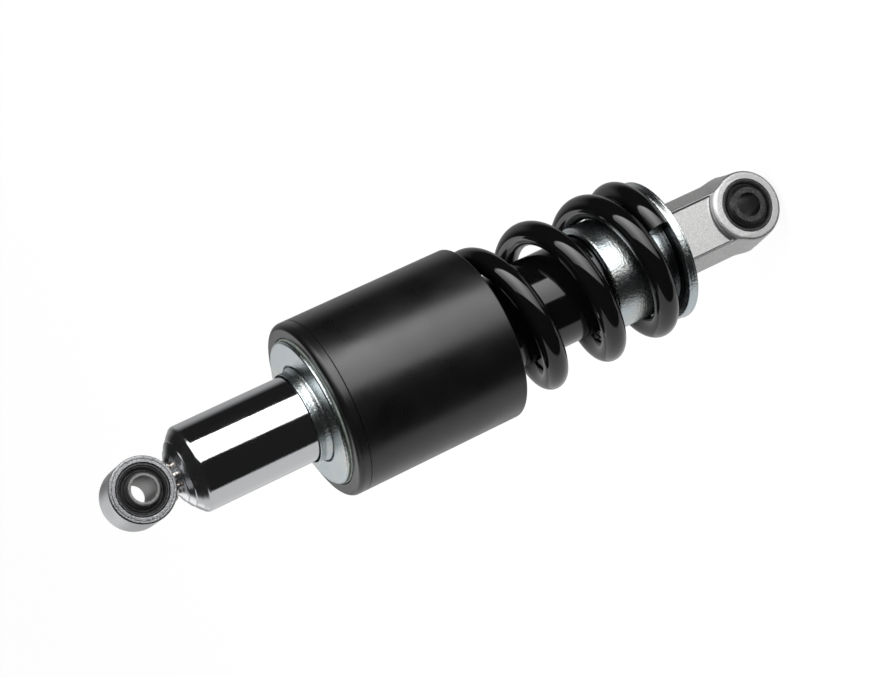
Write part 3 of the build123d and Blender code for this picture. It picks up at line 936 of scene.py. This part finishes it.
@dataclass
class UpperEye:
    """Chromed eye ring with its bush, welded to the damper's closed end."""

    height: float = 357.0
    ring_r: float = 16.5
    ring_half: float = 14.2
    bore_r: float = 13.0
    neck_r: float = 8.5
    bead_r: float = 2.3
    beads: int = 9
    bead_scale: tuple[float, float] = (0.8, 1.25)
    melt_cell: float = 0.22
    skin_cell: float = 0.26

    def build(self) -> None:
        """Builds and dresses the ring, its weld and its bush."""
        r, half, bore = self.ring_r, self.ring_half, self.bore_r
        mid = (r + bore) / 2
        outline = Outline.mirrored(
            (r, half - 0.35, 0.6), (r - 0.75, half, 0.3), (mid + 0.35, half, 0.15),
            (mid + 0.1, half - 0.18, 0.12), (mid - 0.15, half, 0.15), (bore, half, 0.45),
        )
        ring = lathe("upper_eye", outline, across(self.height), FINE)
        stand_in(ring, CHROME, "upper_eye_ring")
        stand_in(self.weld(), WELD, "eye_weld")
        Bush(Eye.UPPER, self.height, 12.97, 1.3, 13.7, 7.95, 17.1, 0.5).build()

    def weld(self) -> bpy.types.Object:
        """Weld bead round the neck, where it meets the ring: overlapping drops melted together."""
        g = Geometry("weld_beads")
        neck = g.input("Neck radius", self.neck_r * MM)
        ring = g.input("Ring radius", self.ring_r * MM)
        bead = g.input("Bead radius", self.bead_r * MM)
        height = g.input("Eye height", self.height * MM)
        count = g.input("Beads", self.beads)
        turn = g.node("GeometryNodeInputIndex") * (2 * math.pi) / count
        path_r = neck + bead * 0.2
        y = path_r * g.math("SINE", turn)
        drop = g.math("SQRT", ring * ring - y * y)
        spot = g.vector(path_r * g.math("COSINE", turn), y, height - drop - bead * 0.25)
        placed = g.points_at(count, spot)
        ball = g.node("GeometryNodeMeshIcoSphere", sockets={"Radius": bead, "Subdivisions": 3})
        limits = {2: self.bead_scale[0], 3: self.bead_scale[1], "Seed": 7}
        size = g.node("FunctionNodeRandomValue", {"data_type": "FLOAT"}, limits, output=1)
        drops = g.node("GeometryNodeInstanceOnPoints", sockets={0: placed, "Instance": ball, "Scale": size})
        whole = g.node("GeometryNodeRealizeInstances", sockets={0: drops})
        by_size = {"resolution_mode": "VOXEL_SIZE"}
        cells = {0: whole, "Voxel Size": self.melt_cell * MM}
        melted = g.node("GeometryNodeMeshToVolume", by_size, cells)
        cells = {0: melted, "Voxel Size": self.skin_cell * MM, "Threshold": 0.1}
        skin = g.node("GeometryNodeVolumeToMesh", by_size, cells)
        return g.bake("eye_weld_bead", skin, WELD.material())


@dataclass
class DamperBody:
    """Chromed damper tube with its closed cone end.

    Each row of the cone is (inset from the tube, height over the shoulder, rounding).
    """

    r: float = 22.5
    wall: float = 2.25
    bottom: float = 148.0
    shoulder: float = 329.3
    cone_top: float = 340.5
    neck_r: float = 8.5
    neck_top: float = 343.6
    end_wall: float = 3.2
    head_bottom: float = 152.5
    groove: float = 1.6
    ring_height: float = 267.9
    ring_wire: float = 1.6
    ring_groove: float = 0.8
    cone: tuple[tuple[float, float, float], ...] = (
        (2.6, 2.6, 5.0), (5.2, 4.8, 1.2), (5.5, 5.3, 0.6), (8.6, 7.2, 3.0), (9.0, 7.7, 0.6),
    )

    def build(self) -> None:
        """Builds and dresses the tube."""
        r, bore, shoulder = self.r, self.r - self.wall, self.shoulder
        low, high = self.ring_height - self.ring_wire / 2, self.ring_height + self.ring_wire / 2
        groove_r, groove_low = r - self.ring_groove, self.head_bottom - self.groove
        floor = self.cone_top - 2 * self.end_wall
        outline = Outline(
            (bore, self.bottom, 0.4),
            (r - 0.8, self.bottom, 0.3),
            (r, self.bottom + 0.8, 0.5),
            (r, low),
            (groove_r, low, 0.3),
            (groove_r, high, 0.3),
            (r, high),
            (r, shoulder, 2.4),
            *((r - inset, shoulder + height, rounding) for inset, height, rounding in self.cone),
            (self.neck_r + 2.2, self.cone_top - 2.3, 2.0),
            (self.neck_r, self.cone_top - 0.8, 1.0),
            (self.neck_r, self.neck_top),
            (0, self.neck_top),
            (0, floor),
            (self.neck_r - self.end_wall, floor),
            (bore, shoulder - self.end_wall),
            (bore, self.head_bottom),
            (bore + self.groove / 2, self.head_bottom, 0.3),
            (bore + self.groove / 2, groove_low, 0.3),
            (bore, groove_low),
        )
        stand_in(lathe("damper_tube", outline, segments=FINE), CHROME, "damper_body")


@dataclass
class UpperSeat:
    """Zinc plated washer held by a flared stop ring, with the grey isolator under it."""

    body_r: float = 22.53
    r: float = 38.2
    top: float = 263.9
    thickness: float = 4.1
    recess_r: float = 25.4
    recess: float = 2.2
    stop_r: float = 24.9
    stop_top_r: float = 23.73
    stop_height: float = 8.3
    flare_low: float = 2.7
    flare_high: float = 4.6
    sill: float = 5.4
    pocket_r: float = 23.33
    isolator_r: float = 38.8
    isolator_height: float = 1.9
    step_r: float = 33.0
    step: float = 1.9

    def build(self) -> None:
        """Builds and dresses the washer, stop ring and isolator."""
        bottom = self.top - self.thickness
        floor = self.top - self.recess
        step = bottom + self.step
        hole, foot = self.body_r, self.step_r + 0.1
        washer = Outline(
            (hole, bottom, 0.3), (self.step_r, bottom, 0.3), (self.step_r, step, 0.3),
            (self.r, step, 0.7), (self.r, self.top, 1.4),
            (self.recess_r + 0.35, self.top, 0.35), (self.recess_r, floor, 0.3), (hole, floor, 0.2),
        )
        stand_in(lathe("seat_washer", washer, segments=FINE), ZINC, "upper_spring_seat")
        top = floor + self.stop_height
        sill = floor + self.sill
        stop = Outline(
            (hole, floor, 0.2), (self.stop_r, floor, 0.5), (self.stop_r, floor + self.flare_low, 1.4),
            (self.stop_top_r - 0.25, floor + self.flare_high, 3.0), (self.stop_top_r, top, 0.2),
            (self.pocket_r, top, 0.15), (self.pocket_r, sill, 0.2), (hole, sill, 0.1),
        )
        stand_in(lathe("stop_ring_flare", stop, segments=FINE), ZINC, "stop_ring")
        low = bottom - self.isolator_height
        ring = Outline(
            (hole, low, 0.3), (self.isolator_r, low, 0.7), (self.isolator_r, step, 0.5),
            (foot, step, 0.2), (foot, bottom, 0.2), (hole, bottom, 0.3),
        )
        stand_in(lathe("isolator", ring, segments=FINE), ISOLATOR, "isolator_ring")


@dataclass
class SpringSleeve:
    """Satin black sleeve over the upper part of the spring."""

    r: float = 46.3
    bore: float = 43.9
    bottom: float = 165.1
    crown: float = 261.3
    corner: float = 6.6
    seam: float = 254.9
    seam_half: float = 0.3
    seam_depth: float = 0.45
    recess_r: float = 39.2
    shelf_top: float = 257.9
    shelf_bottom: float = 255.4
    shelf_r: float = 28.0

    def build(self) -> None:
        """Builds and dresses the sleeve."""
        outline = Outline(
            (self.bore, self.bottom, 0.5),
            (self.r, self.bottom, 0.9),
            (self.r, self.seam - self.seam_half, 0.15),
            (self.r - self.seam_depth, self.seam, 0.1),
            (self.r, self.seam + self.seam_half, 0.15),
            (self.r, self.crown, self.corner),
            (self.recess_r, self.crown, 0.3),
            (self.recess_r, self.shelf_top, 0.3),
            (self.shelf_r, self.shelf_top, 0.4),
            (self.shelf_r, self.shelf_bottom, 0.4),
            (self.bore, self.shelf_bottom, 1.0),
        )
        stand_in(lathe("sleeve", outline, segments=256), SLEEVE_BLACK, "spring_sleeve")


@dataclass
class CoilSpring:
    """Coil spring of round wire, flat at both ends, with one even pitch between them."""

    coil_r: float = 36.2
    wire_r: float = 6.3
    turns: float = 6.35
    flat: float = 0.1
    ramp: float = 1.0
    tip: float = math.radians(40)
    closed_end: float = 0.078
    closed_taper: float = 0.9
    low: float = 66.3
    high: float = 249.1
    seat: float = 60.0
    travel: float = 65.0
    points: int = 1100
    sides: int = 40
    sharp: float = math.radians(50)

    def climbed(self, turn: Value) -> Value:
        """Turns of full pitch that the wire has climbed after that many turns from its tip."""
        past = (turn - self.flat).most(0.0)
        return past.least(self.ramp) ** 2.0 / (2 * self.ramp) + (past - self.ramp).most(0.0)

    def build(self) -> None:
        """Builds the wire with Geometry Nodes."""
        g = Geometry("spring_wire")
        coil_r = g.input("Coil radius", self.coil_r * MM)
        wire_r = g.input("Wire radius", self.wire_r * MM)
        turns = g.input("Turns", self.turns)
        low = g.input("Lower tip height", self.low * MM)
        high = g.input("Upper tip height", self.high * MM)
        tip = g.input("Tip angle", self.tip)
        count = g.input("Points", self.points)
        closed = g.input("Closed end", self.closed_end)
        taper = g.input("Taper at the tip", self.closed_taper)
        turn = g.node("GeometryNodeInputIndex") / (count - 1.0) * (turns + closed) - closed
        half = turns / 2.0
        first = self.climbed(turn.least(half))
        second = self.climbed(half) - self.climbed(turns - turn.most(half))
        pitch = (high - low) / (turns - (2 * self.flat + self.ramp))
        angle = turn * (2 * math.pi) + tip
        ends = {0: turn, 1: closed * -1.0, 2: 0.0, 3: taper, 4: 1.0}
        thickness = g.node("ShaderNodeMapRange", sockets=ends)
        height = (first + second) * pitch + low - (1.0 - thickness) * wire_r
        spot = g.vector(coil_r * g.math("COSINE", angle), coil_r * g.math("SINE", angle), height)
        path = g.node("GeometryNodeMeshToCurve", sockets={0: g.points_at(count, spot)})
        ring = {"Resolution": self.sides, "Radius": wire_r}
        circle = g.node("GeometryNodeCurvePrimitiveCircle", sockets=ring)
        sweep = {"Curve": path, "Profile Curve": circle, "Scale": thickness, "Fill Caps": True}
        wire = g.node("GeometryNodeCurveToMesh", sockets=sweep)
        spring = g.bake("spring", wire, SPRING_BLACK.material())
        spring.data.set_sharp_from_angle(angle=self.sharp)
        stand_in(spring, SPRING_BLACK, "coil_spring")
        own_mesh(spring)


@dataclass
class LowerSeat:
    """Lower spring seat with its rolled rim, the collar that centres the spring, and the dust tube."""

    bottom: float = 57.5
    sheet: float = 2.5
    seat_r: float = 38.3
    rim_depth: float = 5.0
    rim_lip: float = 0.35
    rim_bead: float = 0.9
    hole: float = 6.03
    collar_r: float = 29.5
    collar_wall: float = 2.0
    collar_height: float = 38.0
    foot: float = 1.6
    foot_height: float = 2.4
    lip: float = 3.2
    lip_depth: float = 1.6
    tube_r: float = 25.4
    tube_bore: float = 23.3
    tube_base: float = 2.5
    tube_height: float = 122.0

    def build(self) -> None:
        """Builds and dresses the seat, collar and dust tube."""
        top = self.bottom + self.sheet
        rim = top - self.rim_depth
        bead = rim + self.rim_bead
        r, inner, wall = self.seat_r, self.seat_r - self.sheet, self.seat_r - self.rim_lip
        seat = Outline(
            (self.hole, self.bottom, 0.2), (inner, self.bottom, 1.0), (inner, rim, 0.5), (r, rim, 0.4),
            (r, bead, 0.35), (wall, bead + 0.25, 0.3), (wall, top, 1.5), (self.hole, top, 0.2),
        )
        stand_in(lathe("seat_flange", seat, segments=FINE), ZINC, "lower_spring_seat")

        mouth = top + self.collar_height
        outer, lip = self.collar_r, self.lip
        bore = outer - self.collar_wall
        base = top + self.collar_wall
        collar = Outline(
            (self.hole, top, 0.2), (outer + self.foot, top, 1.2), (outer, top + self.foot_height, 2.6),
            (outer, mouth, lip - 0.1), (outer - lip, mouth, 0.5), (outer - lip, mouth - self.lip_depth, 0.8),
            (bore, mouth - lip - 1.0, 0.8), (bore, base, 1.6), (self.hole, base, 0.2),
        )
        stand_in(lathe("collar", collar, segments=FINE), ZINC, "seat_collar")

        tube_top, floor = base + self.tube_height, base + self.tube_base
        tube = Outline(
            (self.hole, base, 0.2), (self.tube_r, base, 1.5), (self.tube_r, tube_top, 0.6),
            (self.tube_bore, tube_top, 0.5), (self.tube_bore, floor, 1.2), (self.hole, floor, 0.2),
        )
        stand_in(lathe("dust_tube_shell", tube, segments=FINE), TUBE_BLACK, "dust_tube")


@dataclass
class RodEnd:
    """Cast rod end: drafted boss round the bush, drafted neck with sunk panels, round pad.

    The edges are roundings, and the fillets are those between two of its forms.
    """

    boss_r: float = 18.8
    boss_back_r: float = 21.3
    boss_half: float = 11.0
    face_r: float = 16.8
    bush_r: float = 14.3
    neck_half: float = 9.5
    back_half: float = 21.3
    panel_half: float = 13.0
    panel_edge: float = 14.0
    panel_depth: float = 1.0
    panel_start: float = 21.0
    pad_r: float = 21.0
    pad_height: float = 5.0
    top: float = 57.5
    thread_r: float = 6.03
    thread_depth: float = 30.0
    boss_edge: float = 1.7
    back_edge: float = 3.5
    front_edge: float = 0.8
    panel_floor_edge: float = 0.5
    panel_end_edge: float = 1.2
    panel_rim_edge: float = 0.7
    cut_edge: float = 0.4
    pad_edge: float = 1.0
    bore_edge: float = 0.35
    mouth_edge: float = 0.3
    neck_fillet: float = 2.6
    pad_fillet: float = 1.2
    neck_stop: float = 1.0
    margin: float = 1.0
    cell: float = 0.46
    gradient_step: float = 0.02
    passes: int = 6

    def build(self) -> None:
        """Builds and dresses the casting, its machined faces and its bush."""
        stand_in(self.casting(), CASTING, "rod_end_casting")
        for side in Side:
            ride_along(self.machined_face(side), BORED_ALUMINIUM, "rod_end")
        Bush(Eye.LOWER, 0.0, 14.27, 1.2, 11.0, 10.9, 12.7, 1.5).build()

    @staticmethod
    def join(a: np.ndarray, b: np.ndarray, fillet: float) -> np.ndarray:
        """Joins two solids' distances, with a hollow fillet between them."""
        share = np.clip(0.5 + 0.5 * (b - a) / fillet, 0, 1)
        return b + (a - b) * share - fillet * share * (1 - share)

    @classmethod
    def keep(cls, a: np.ndarray, b: np.ndarray, rounding: float) -> np.ndarray:
        """Keeps what lies in both solids, with a rounded edge between them."""
        return -cls.join(-a, -b, rounding)

    def distance(self, p: np.ndarray) -> np.ndarray:
        """Roughly how far points are from the casting's skin, below zero inside it.

        Args:
            p: Points in millimetres, one row each.

        Returns:
            One distance for each point.
        """
        front, y, z = p[:, 0], np.abs(p[:, 1]), p[:, 2]
        x = np.abs(front)
        from_bore = np.hypot(y, z)
        from_axis = np.hypot(x, y)
        draft = (self.boss_back_r - self.boss_r) / (2 * self.boss_half)
        boss = (from_bore - self.boss_r - draft * (self.boss_half - front)) / math.hypot(1, draft)
        boss = self.keep(boss, x - self.boss_half, self.boss_edge)

        draft = (self.back_half - self.panel_edge) / (2 * self.neck_half)
        neck = (y - self.panel_edge - draft * (self.neck_half - front)) / math.hypot(1, draft)
        neck = self.keep(neck, -front - self.neck_half, self.back_edge)
        neck = self.keep(neck, front - self.neck_half, self.front_edge)
        floor = self.neck_half - self.panel_depth - x
        sunk = self.keep(y - self.panel_half, floor, self.panel_floor_edge)
        sunk = self.keep(sunk, self.panel_start - from_bore, self.panel_end_edge)
        neck = self.keep(neck, -sunk, self.panel_rim_edge)
        neck = self.keep(neck, z - self.top + self.neck_stop, self.cut_edge)
        neck = self.keep(neck, -z, self.cut_edge)

        reach = self.top - self.pad_height
        pad_half = self.pad_height / 2
        pad = self.keep(from_axis - self.pad_r, np.abs(z - reach - pad_half) - pad_half, self.pad_edge)
        body = self.join(boss, neck, self.neck_fillet)
        body = self.join(body, pad, self.pad_fillet)
        body = self.keep(body, self.bush_r - from_bore, self.bore_edge)
        thread = self.keep(from_axis - self.thread_r, self.top - self.thread_depth - z, self.cut_edge)
        return self.keep(body, -thread, self.mouth_edge)

    def slope(self, p: np.ndarray) -> tuple[np.ndarray, np.ndarray]:
        """Distance of points from the skin, and its gradient.

        Args:
            p: Points in millimetres, one row each.

        Returns:
            The distances, and the gradients one row each.
        """
        step = self.gradient_step
        gradient = np.zeros_like(p)
        for axis in range(3):
            move = np.zeros(3)
            move[axis] = step
            gradient[:, axis] = (self.distance(p + move) - self.distance(p - move)) / (2 * step)
        return self.distance(p), gradient

    def casting(self) -> bpy.types.Object:
        """Skins the casting's distance field on a grid, with every vertex brought onto the skin."""
        low = np.array([-self.pad_r, -self.pad_r, -self.boss_back_r]) - self.margin
        high = np.array([self.pad_r, self.pad_r, self.top]) + self.margin
        shape = np.ceil((high - low) / self.cell).astype(int)
        lines = [low[axis] + self.cell * np.arange(shape[axis]) for axis in range(3)]
        grid = np.stack(np.meshgrid(*lines, indexing="ij"), -1)
        inside = self.distance(grid.reshape(-1, 3)).reshape(tuple(shape)) < 0
        corners = [inside[i:shape[0] - 1 + i, j:shape[1] - 1 + j, k:shape[2] - 1 + k]
                   for i in (0, 1) for j in (0, 1) for k in (0, 1)]
        filled = sum(corner.astype(np.int8) for corner in corners)
        cells = np.argwhere((filled > 0) & (filled < 8))
        number = np.full(tuple(shape), -1)
        number[tuple(cells.T)] = np.arange(len(cells))
        points = low + self.cell * (cells + 0.5)
        for _ in range(self.passes):
            value, gradient = self.slope(points)
            size = (gradient ** 2).sum(1) + 1e-9
            points = points - np.clip(value / size, -self.cell, self.cell)[:, None] * gradient
        faces = []
        for axis in range(3):
            faces += self.crossings(inside, number, axis)
        _, gradient = self.slope(points)
        normals = gradient / np.linalg.norm(gradient, axis=1, keepdims=True)
        corner_normals = normals[np.array(faces).reshape(-1)]
        return mesh_piece("rod_end_body", points, faces, corner_normals)

    @staticmethod
    def crossings(inside: np.ndarray, number: np.ndarray, axis: int) -> list[tuple[int, ...]]:
        """Faces across the grid's edges along one axis, where the skin cuts them.

        Args:
            inside: Which grid points are in the casting.
            number: The vertex number of each cell.
            axis: The edges' axis.

        Returns:
            Faces of four vertices, anticlockwise from outside.
        """
        a, b = (axis + 1) % 3, (axis + 2) % 3
        here = np.take(inside, range(inside.shape[axis] - 1), axis)
        there = np.take(inside, range(1, inside.shape[axis]), axis)
        found = []
        for cut, order in ((here & ~there, 1), (~here & there, -1)):
            at = np.argwhere(cut)
            back_a, back_b = at.copy(), at.copy()
            back_a[:, a] -= 1
            back_b[:, b] -= 1
            both = back_a.copy()
            both[:, b] -= 1
            ring = [number[tuple(cell.T)] for cell in (both, back_b, at, back_a)]
            quads = np.stack(ring, 1)[:, ::order]
            found += [tuple(quad) for quad in quads.tolist()]
        return found

    def machined_face(self, side: Side) -> bpy.types.Object:
        """Machined ring round the bush.

        Args:
            side: The face that it lies on.

        Returns:
            The ring.
        """
        inner, outer = self.bush_r + 0.25, self.face_r
        low, high = self.boss_half - 0.3, self.boss_half + 0.06
        outline = Outline((inner, low), (outer, low), (outer, high, 0.05), (inner, high, 0.05))
        turn = Matrix.Rotation(side.value * math.pi / 2, 4, "Y")
        return lathe(f"boss_face_{side.name.lower()}", outline, turn)


@dataclass
class InnerWorks:
    """The pieces inside the damper, which keep their CAD solids and get their finishes."""

    finishes: dict[str, Finish] = field(default_factory=lambda: {
        "piston_rod": CHROME, "lock_nut": ZINC, "bump_stop_washer": ZINC, "bump_stop": BUMP_FOAM,
        "rebound_stop": RING_POLYMER, "support_washer": MACHINED_STEEL, "compression_shims": MACHINED_STEEL,
        "piston": MACHINED_ALUMINIUM, "piston_ring": RING_POLYMER, "rebound_shims": MACHINED_STEEL,
        "piston_nut": MACHINED_STEEL, "seal_head": MACHINED_ALUMINIUM, "head_circlip": DARK_STEEL,
        "guide_bush": BRONZE, "oil_seal": SEAL_RUBBER, "head_o_ring": SEAL_RUBBER,
        "floating_piston": MACHINED_ALUMINIUM, "floating_piston_o_ring": SEAL_RUBBER,
        "seat_wire_ring": DARK_STEEL,
    })

    def dress(self) -> None:
        """Gives each solid its finish."""
        for node, finish in self.finishes.items():
            materials = frame["nodes"][node].data.materials
            materials.clear()
            materials.append(finish.material())
            log.info("%s keeps its solid, in %s", node, finish.slot)


# Studio


@dataclass(frozen=True)
class Panel:
    """One soft panel of the light tent. Places and sizes are in degrees, seen from the damper."""

    azimuth: float
    elevation: float
    half_width: float
    half_height: float
    level: float
    soft: float = 6.0
    lean: float = 0.0
    dimming: float = 0.0
    fading: float = 0.0

    def light(self, azimuth: Value, elevation: Value) -> Value:
        """Light that the panel sends from a direction.

        Args:
            azimuth: The direction's azimuth.
            elevation: Its elevation.

        Returns:
            The panel's level inside it, falling to 0 over its soft edge.
        """
        up = elevation - self.elevation
        side = azimuth - up * self.lean - self.azimuth
        side = side.graph.math("WRAP", side, 180.0, -180.0)
        faded = side.rise(self.half_width, -self.half_width, 1.0, 1.0 - self.fading)
        side, up = abs(side), abs(up)
        half = self.soft / 2
        across = side.rise(self.half_width + half, self.half_width - half)
        along = up.rise(self.half_height + half, self.half_height - half)
        dimmed = up.rise(0.0, self.half_height, 1.0, 1.0 - self.dimming)
        return across * along * dimmed * faded * self.level


@dataclass
class Studio:
    """Camera, soft light, pale floor, and the tent whose panels the gloss surfaces mirror."""

    eye: tuple[float, float, float] = (1.07995, -0.05313, 0.59047)
    right: Colour = (0.29702, -0.44182, -0.84651)
    up: Colour = (0.19856, 0.89572, -0.39783)
    lens: float = 92.79
    floor_height: float = -0.0215
    floor_size: float = 60.0
    tent_r: float = 600.0
    tent_middle: float = 120.0
    dark_level: float = 0.02
    surround: float = 0.62
    paper: float = 0.9
    glow: float = 1.06
    glow_share: float = 0.85
    lamp_size: float = 0.8
    lamp_aim: tuple[float, float, float] = (0.0, 0.0, 0.17)
    panels: tuple[Panel, ...] = (
        Panel(28, 4, 26, 53, 6.6, 4.0, 0.36, 0.65, 0.45),
        Panel(166, -18, 50, 48, 0.5, 30.0),
        Panel(-120, -5, 41, 57, 0.85, 6.0),
        Panel(-172, 40, 24, 11, 1.5, 8.0),
        Panel(100, -78, 95, 17, 0.6, 10.0),
        Panel(-120, -78, 60, 17, 0.7, 10.0),
    )

    def build(self) -> None:
        """Builds the whole studio."""
        self.camera()
        self.world()
        self.floor()
        self.tent()
        self.lamps()
        bpy.context.scene.view_settings.view_transform = "Standard"

    def camera(self) -> None:
        """Camera at the photograph's viewing angle."""
        lens = bpy.data.cameras.new("camera")
        lens.lens = self.lens
        lens.sensor_width = 36.0
        lens.clip_start = 0.02
        camera = linked("camera", lens)
        right, up = Vector(self.right), Vector(self.up)
        turn = Matrix((right, up, right.cross(up))).transposed()
        camera.matrix_world = Matrix.Translation(self.eye) @ turn.to_4x4()
        bpy.context.scene.camera = camera

    @staticmethod
    def seen(g: Graph) -> Value:
        """1 for camera, glossy and transmission rays, and 0 for the rest."""
        path = g.node("ShaderNodeLightPath", output="Is Camera Ray")
        return path.most(path.other("Is Glossy Ray")).most(path.other("Is Transmission Ray"))

    def world(self) -> None:
        """White surround for what sees it, at a plain level for the light it gives."""
        world = bpy.data.worlds.new("studio")
        world.use_nodes = True
        g = Graph(world.node_tree)
        level = self.seen(g).rise(0.0, 1.0, self.surround, 1.0)
        grey = g.vector(level, level, level)
        white = g.node("ShaderNodeBackground", sockets={"Color": grey, "Strength": 1.0})
        g.node("ShaderNodeOutputWorld", sockets={"Surface": white})
        bpy.context.scene.world = world

    def floor(self) -> None:
        """Plain pale floor that stays white and keeps a soft shadow."""
        half, z = self.floor_size / 2, self.floor_height
        points = np.array([(-half, -half, z), (half, -half, z), (half, half, z), (-half, half, z)]) / MM
        floor = mesh_piece("floor", points, [(0, 1, 2, 3)], None)
        floor.visible_glossy = False
        s = Surface("floor_white")
        paper = s.node("ShaderNodeBsdfDiffuse", sockets={"Color": (*[self.paper] * 3, 1.0)})
        white = {"Color": (1.0, 1.0, 1.0, 1.0), "Strength": self.glow}
        glow = s.node("ShaderNodeEmission", sockets=white)
        share = self.seen(s) * self.glow_share
        both = s.node("ShaderNodeMixShader", sockets={0: share, 1: paper, 2: glow})
        s.node("ShaderNodeOutputMaterial", sockets={"Surface": both})
        floor.data.materials.append(s.material)

    def tent(self) -> None:
        """Dark tent with soft panels, which only reflections see."""
        r, middle = self.tent_r, self.tent_middle
        low, high = middle - r, middle + r
        tent = lathe("light_tent", Outline((0, low), (r, low, r), (r, high, r), (0, high)), segments=96)
        for ray in ("camera", "diffuse", "transmission", "shadow", "volume_scatter"):
            setattr(tent, f"visible_{ray}", False)
        s = Surface("tent_panels")
        azimuth = s.math("ARCTAN2", s.y, s.x) * math.degrees(1)
        elevation = s.math("ARCTAN2", s.z - middle, s.radius()) * math.degrees(1)
        first, *others = (panel.light(azimuth, elevation) for panel in self.panels)
        level = first.most(self.dark_level)
        for light in others:
            level = level.most(light)
        grey = s.vector(level, level, level)
        glow = s.node("ShaderNodeEmission", sockets={"Color": grey, "Strength": 1.0})
        s.node("ShaderNodeOutputMaterial", sockets={"Surface": glow})
        tent.data.materials.append(s.material)

    def lamps(self) -> None:
        """Two large soft lamps, which light diffuse surfaces and stay out of reflections."""
        for name, place, watts in (("key", (0.75, 0.55, 1.15), 9.0), ("fill", (-0.6, -0.8, 0.8), 4.0)):
            light = bpy.data.lights.new(name, "AREA")
            light.size = self.lamp_size
            light.energy = watts
            lamp = linked(name, light)
            lamp.visible_glossy = False
            aim = Vector(self.lamp_aim) - Vector(place)
            turn = aim.to_track_quat("-Z", "Y").to_matrix().to_4x4()
            lamp.matrix_world = Matrix.Translation(place) @ turn


def main() -> None:
    """Builds the studio and each sub-assembly in order."""
    logging.basicConfig(level=logging.INFO, format="%(name)s: %(message)s")
    Studio().build()
    for part in (UpperEye(), DamperBody(), UpperSeat(), SpringSleeve(), CoilSpring(), LowerSeat(), RodEnd()):
        part.build()
    InnerWorks().dress()


if __name__ == "__main__":
    main()
